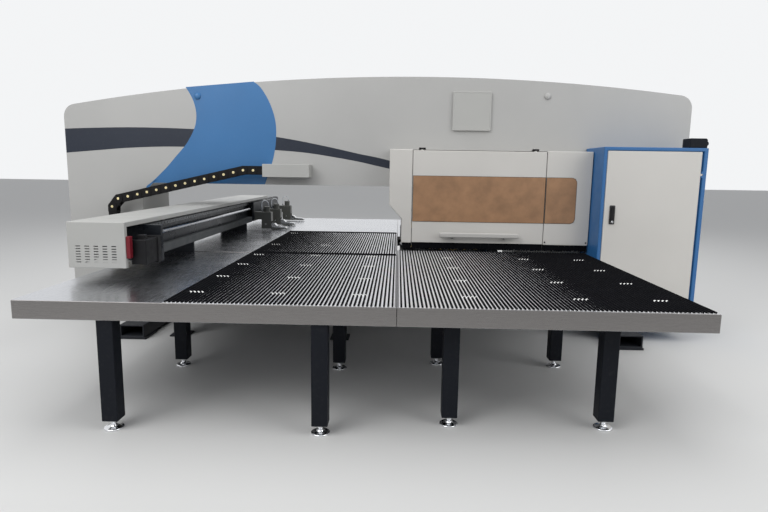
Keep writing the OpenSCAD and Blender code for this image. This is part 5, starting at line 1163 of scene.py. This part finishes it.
# %% Floor, lamps and world
floor_half = 60.0
floor_co = floor_half * np.array([(-1, -1, 0), (1, -1, 0), (1, 1, 0), (-1, 1, 0)], float)
floor = add_mesh("studio_floor", [(floor_co, np.array([(0, 1, 2, 3)]))])
floor_paint, floor_tree, floor_shader = new_finish("pale_floor")
floor_shader.inputs["Base Color"].default_value = (0.62, 0.62, 0.61, 1)
floor_shader.inputs["Roughness"].default_value = 0.55
floor.data.materials.append(floor_paint)

lamps = [("key_lamp", (-4.5, -6.5, 6.5), 6.0, 430.0), ("fill_lamp", (6.5, -5.0, 5.0), 6.0, 250.0),
         ("back_lamp", (0.5, 8.0, 6.5), 7.0, 300.0), ("top_lamp", (0.0, -0.5, 8.0), 7.0, 290.0)]
for name, place, side, power in lamps:
    data = bpy.data.lights.new(name, "AREA")
    data.size, data.energy = side, power
    lamp = bpy.data.objects.new(name, data)
    aim = np.array([0.0, 0.0, 0.9]) - np.array(place)
    aim /= np.linalg.norm(aim)
    across = np.cross(aim, [0, 1, 0.01])
    across /= np.linalg.norm(across)
    turn = np.eye(4)
    turn[:3, 0], turn[:3, 1], turn[:3, 2], turn[:3, 3] = across, np.cross(-aim, across), -aim, place
    lamp.matrix_world = Matrix(turn.tolist())
    lamp.visible_glossy = name in ("key_lamp", "fill_lamp")
    bpy.context.collection.objects.link(lamp)

world = bpy.data.worlds.new("studio")
bpy.context.scene.world = world
world.use_nodes = True
tree = world.node_tree
sky = tree.nodes["Background"]
sky.inputs["Color"].default_value = (0.93, 0.95, 1.0, 1)
sky.inputs["Strength"].default_value = 0.36
seen = tree.nodes.new("ShaderNodeBackground")
seen.inputs["Color"].default_value = (0.90, 0.91, 0.92, 1)
rays = tree.nodes.new("ShaderNodeLightPath")
either = tree.nodes.new("ShaderNodeMath")
either.operation = "MAXIMUM"
tree.links.new(rays.outputs["Is Camera Ray"], either.inputs[0])
tree.links.new(rays.outputs["Is Glossy Ray"], either.inputs[1])
blend = tree.nodes.new("ShaderNodeMixShader")
tree.links.new(either.outputs[0], blend.inputs[0])
tree.links.new(sky.outputs[0], blend.inputs[1])
tree.links.new(seen.outputs[0], blend.inputs[2])
tree.links.new(blend.outputs[0], tree.nodes["World Output"].inputs["Surface"])
bpy.context.scene.view_settings.view_transform = "Standard"

# %% Update the view layer
bpy.context.view_layer.update()
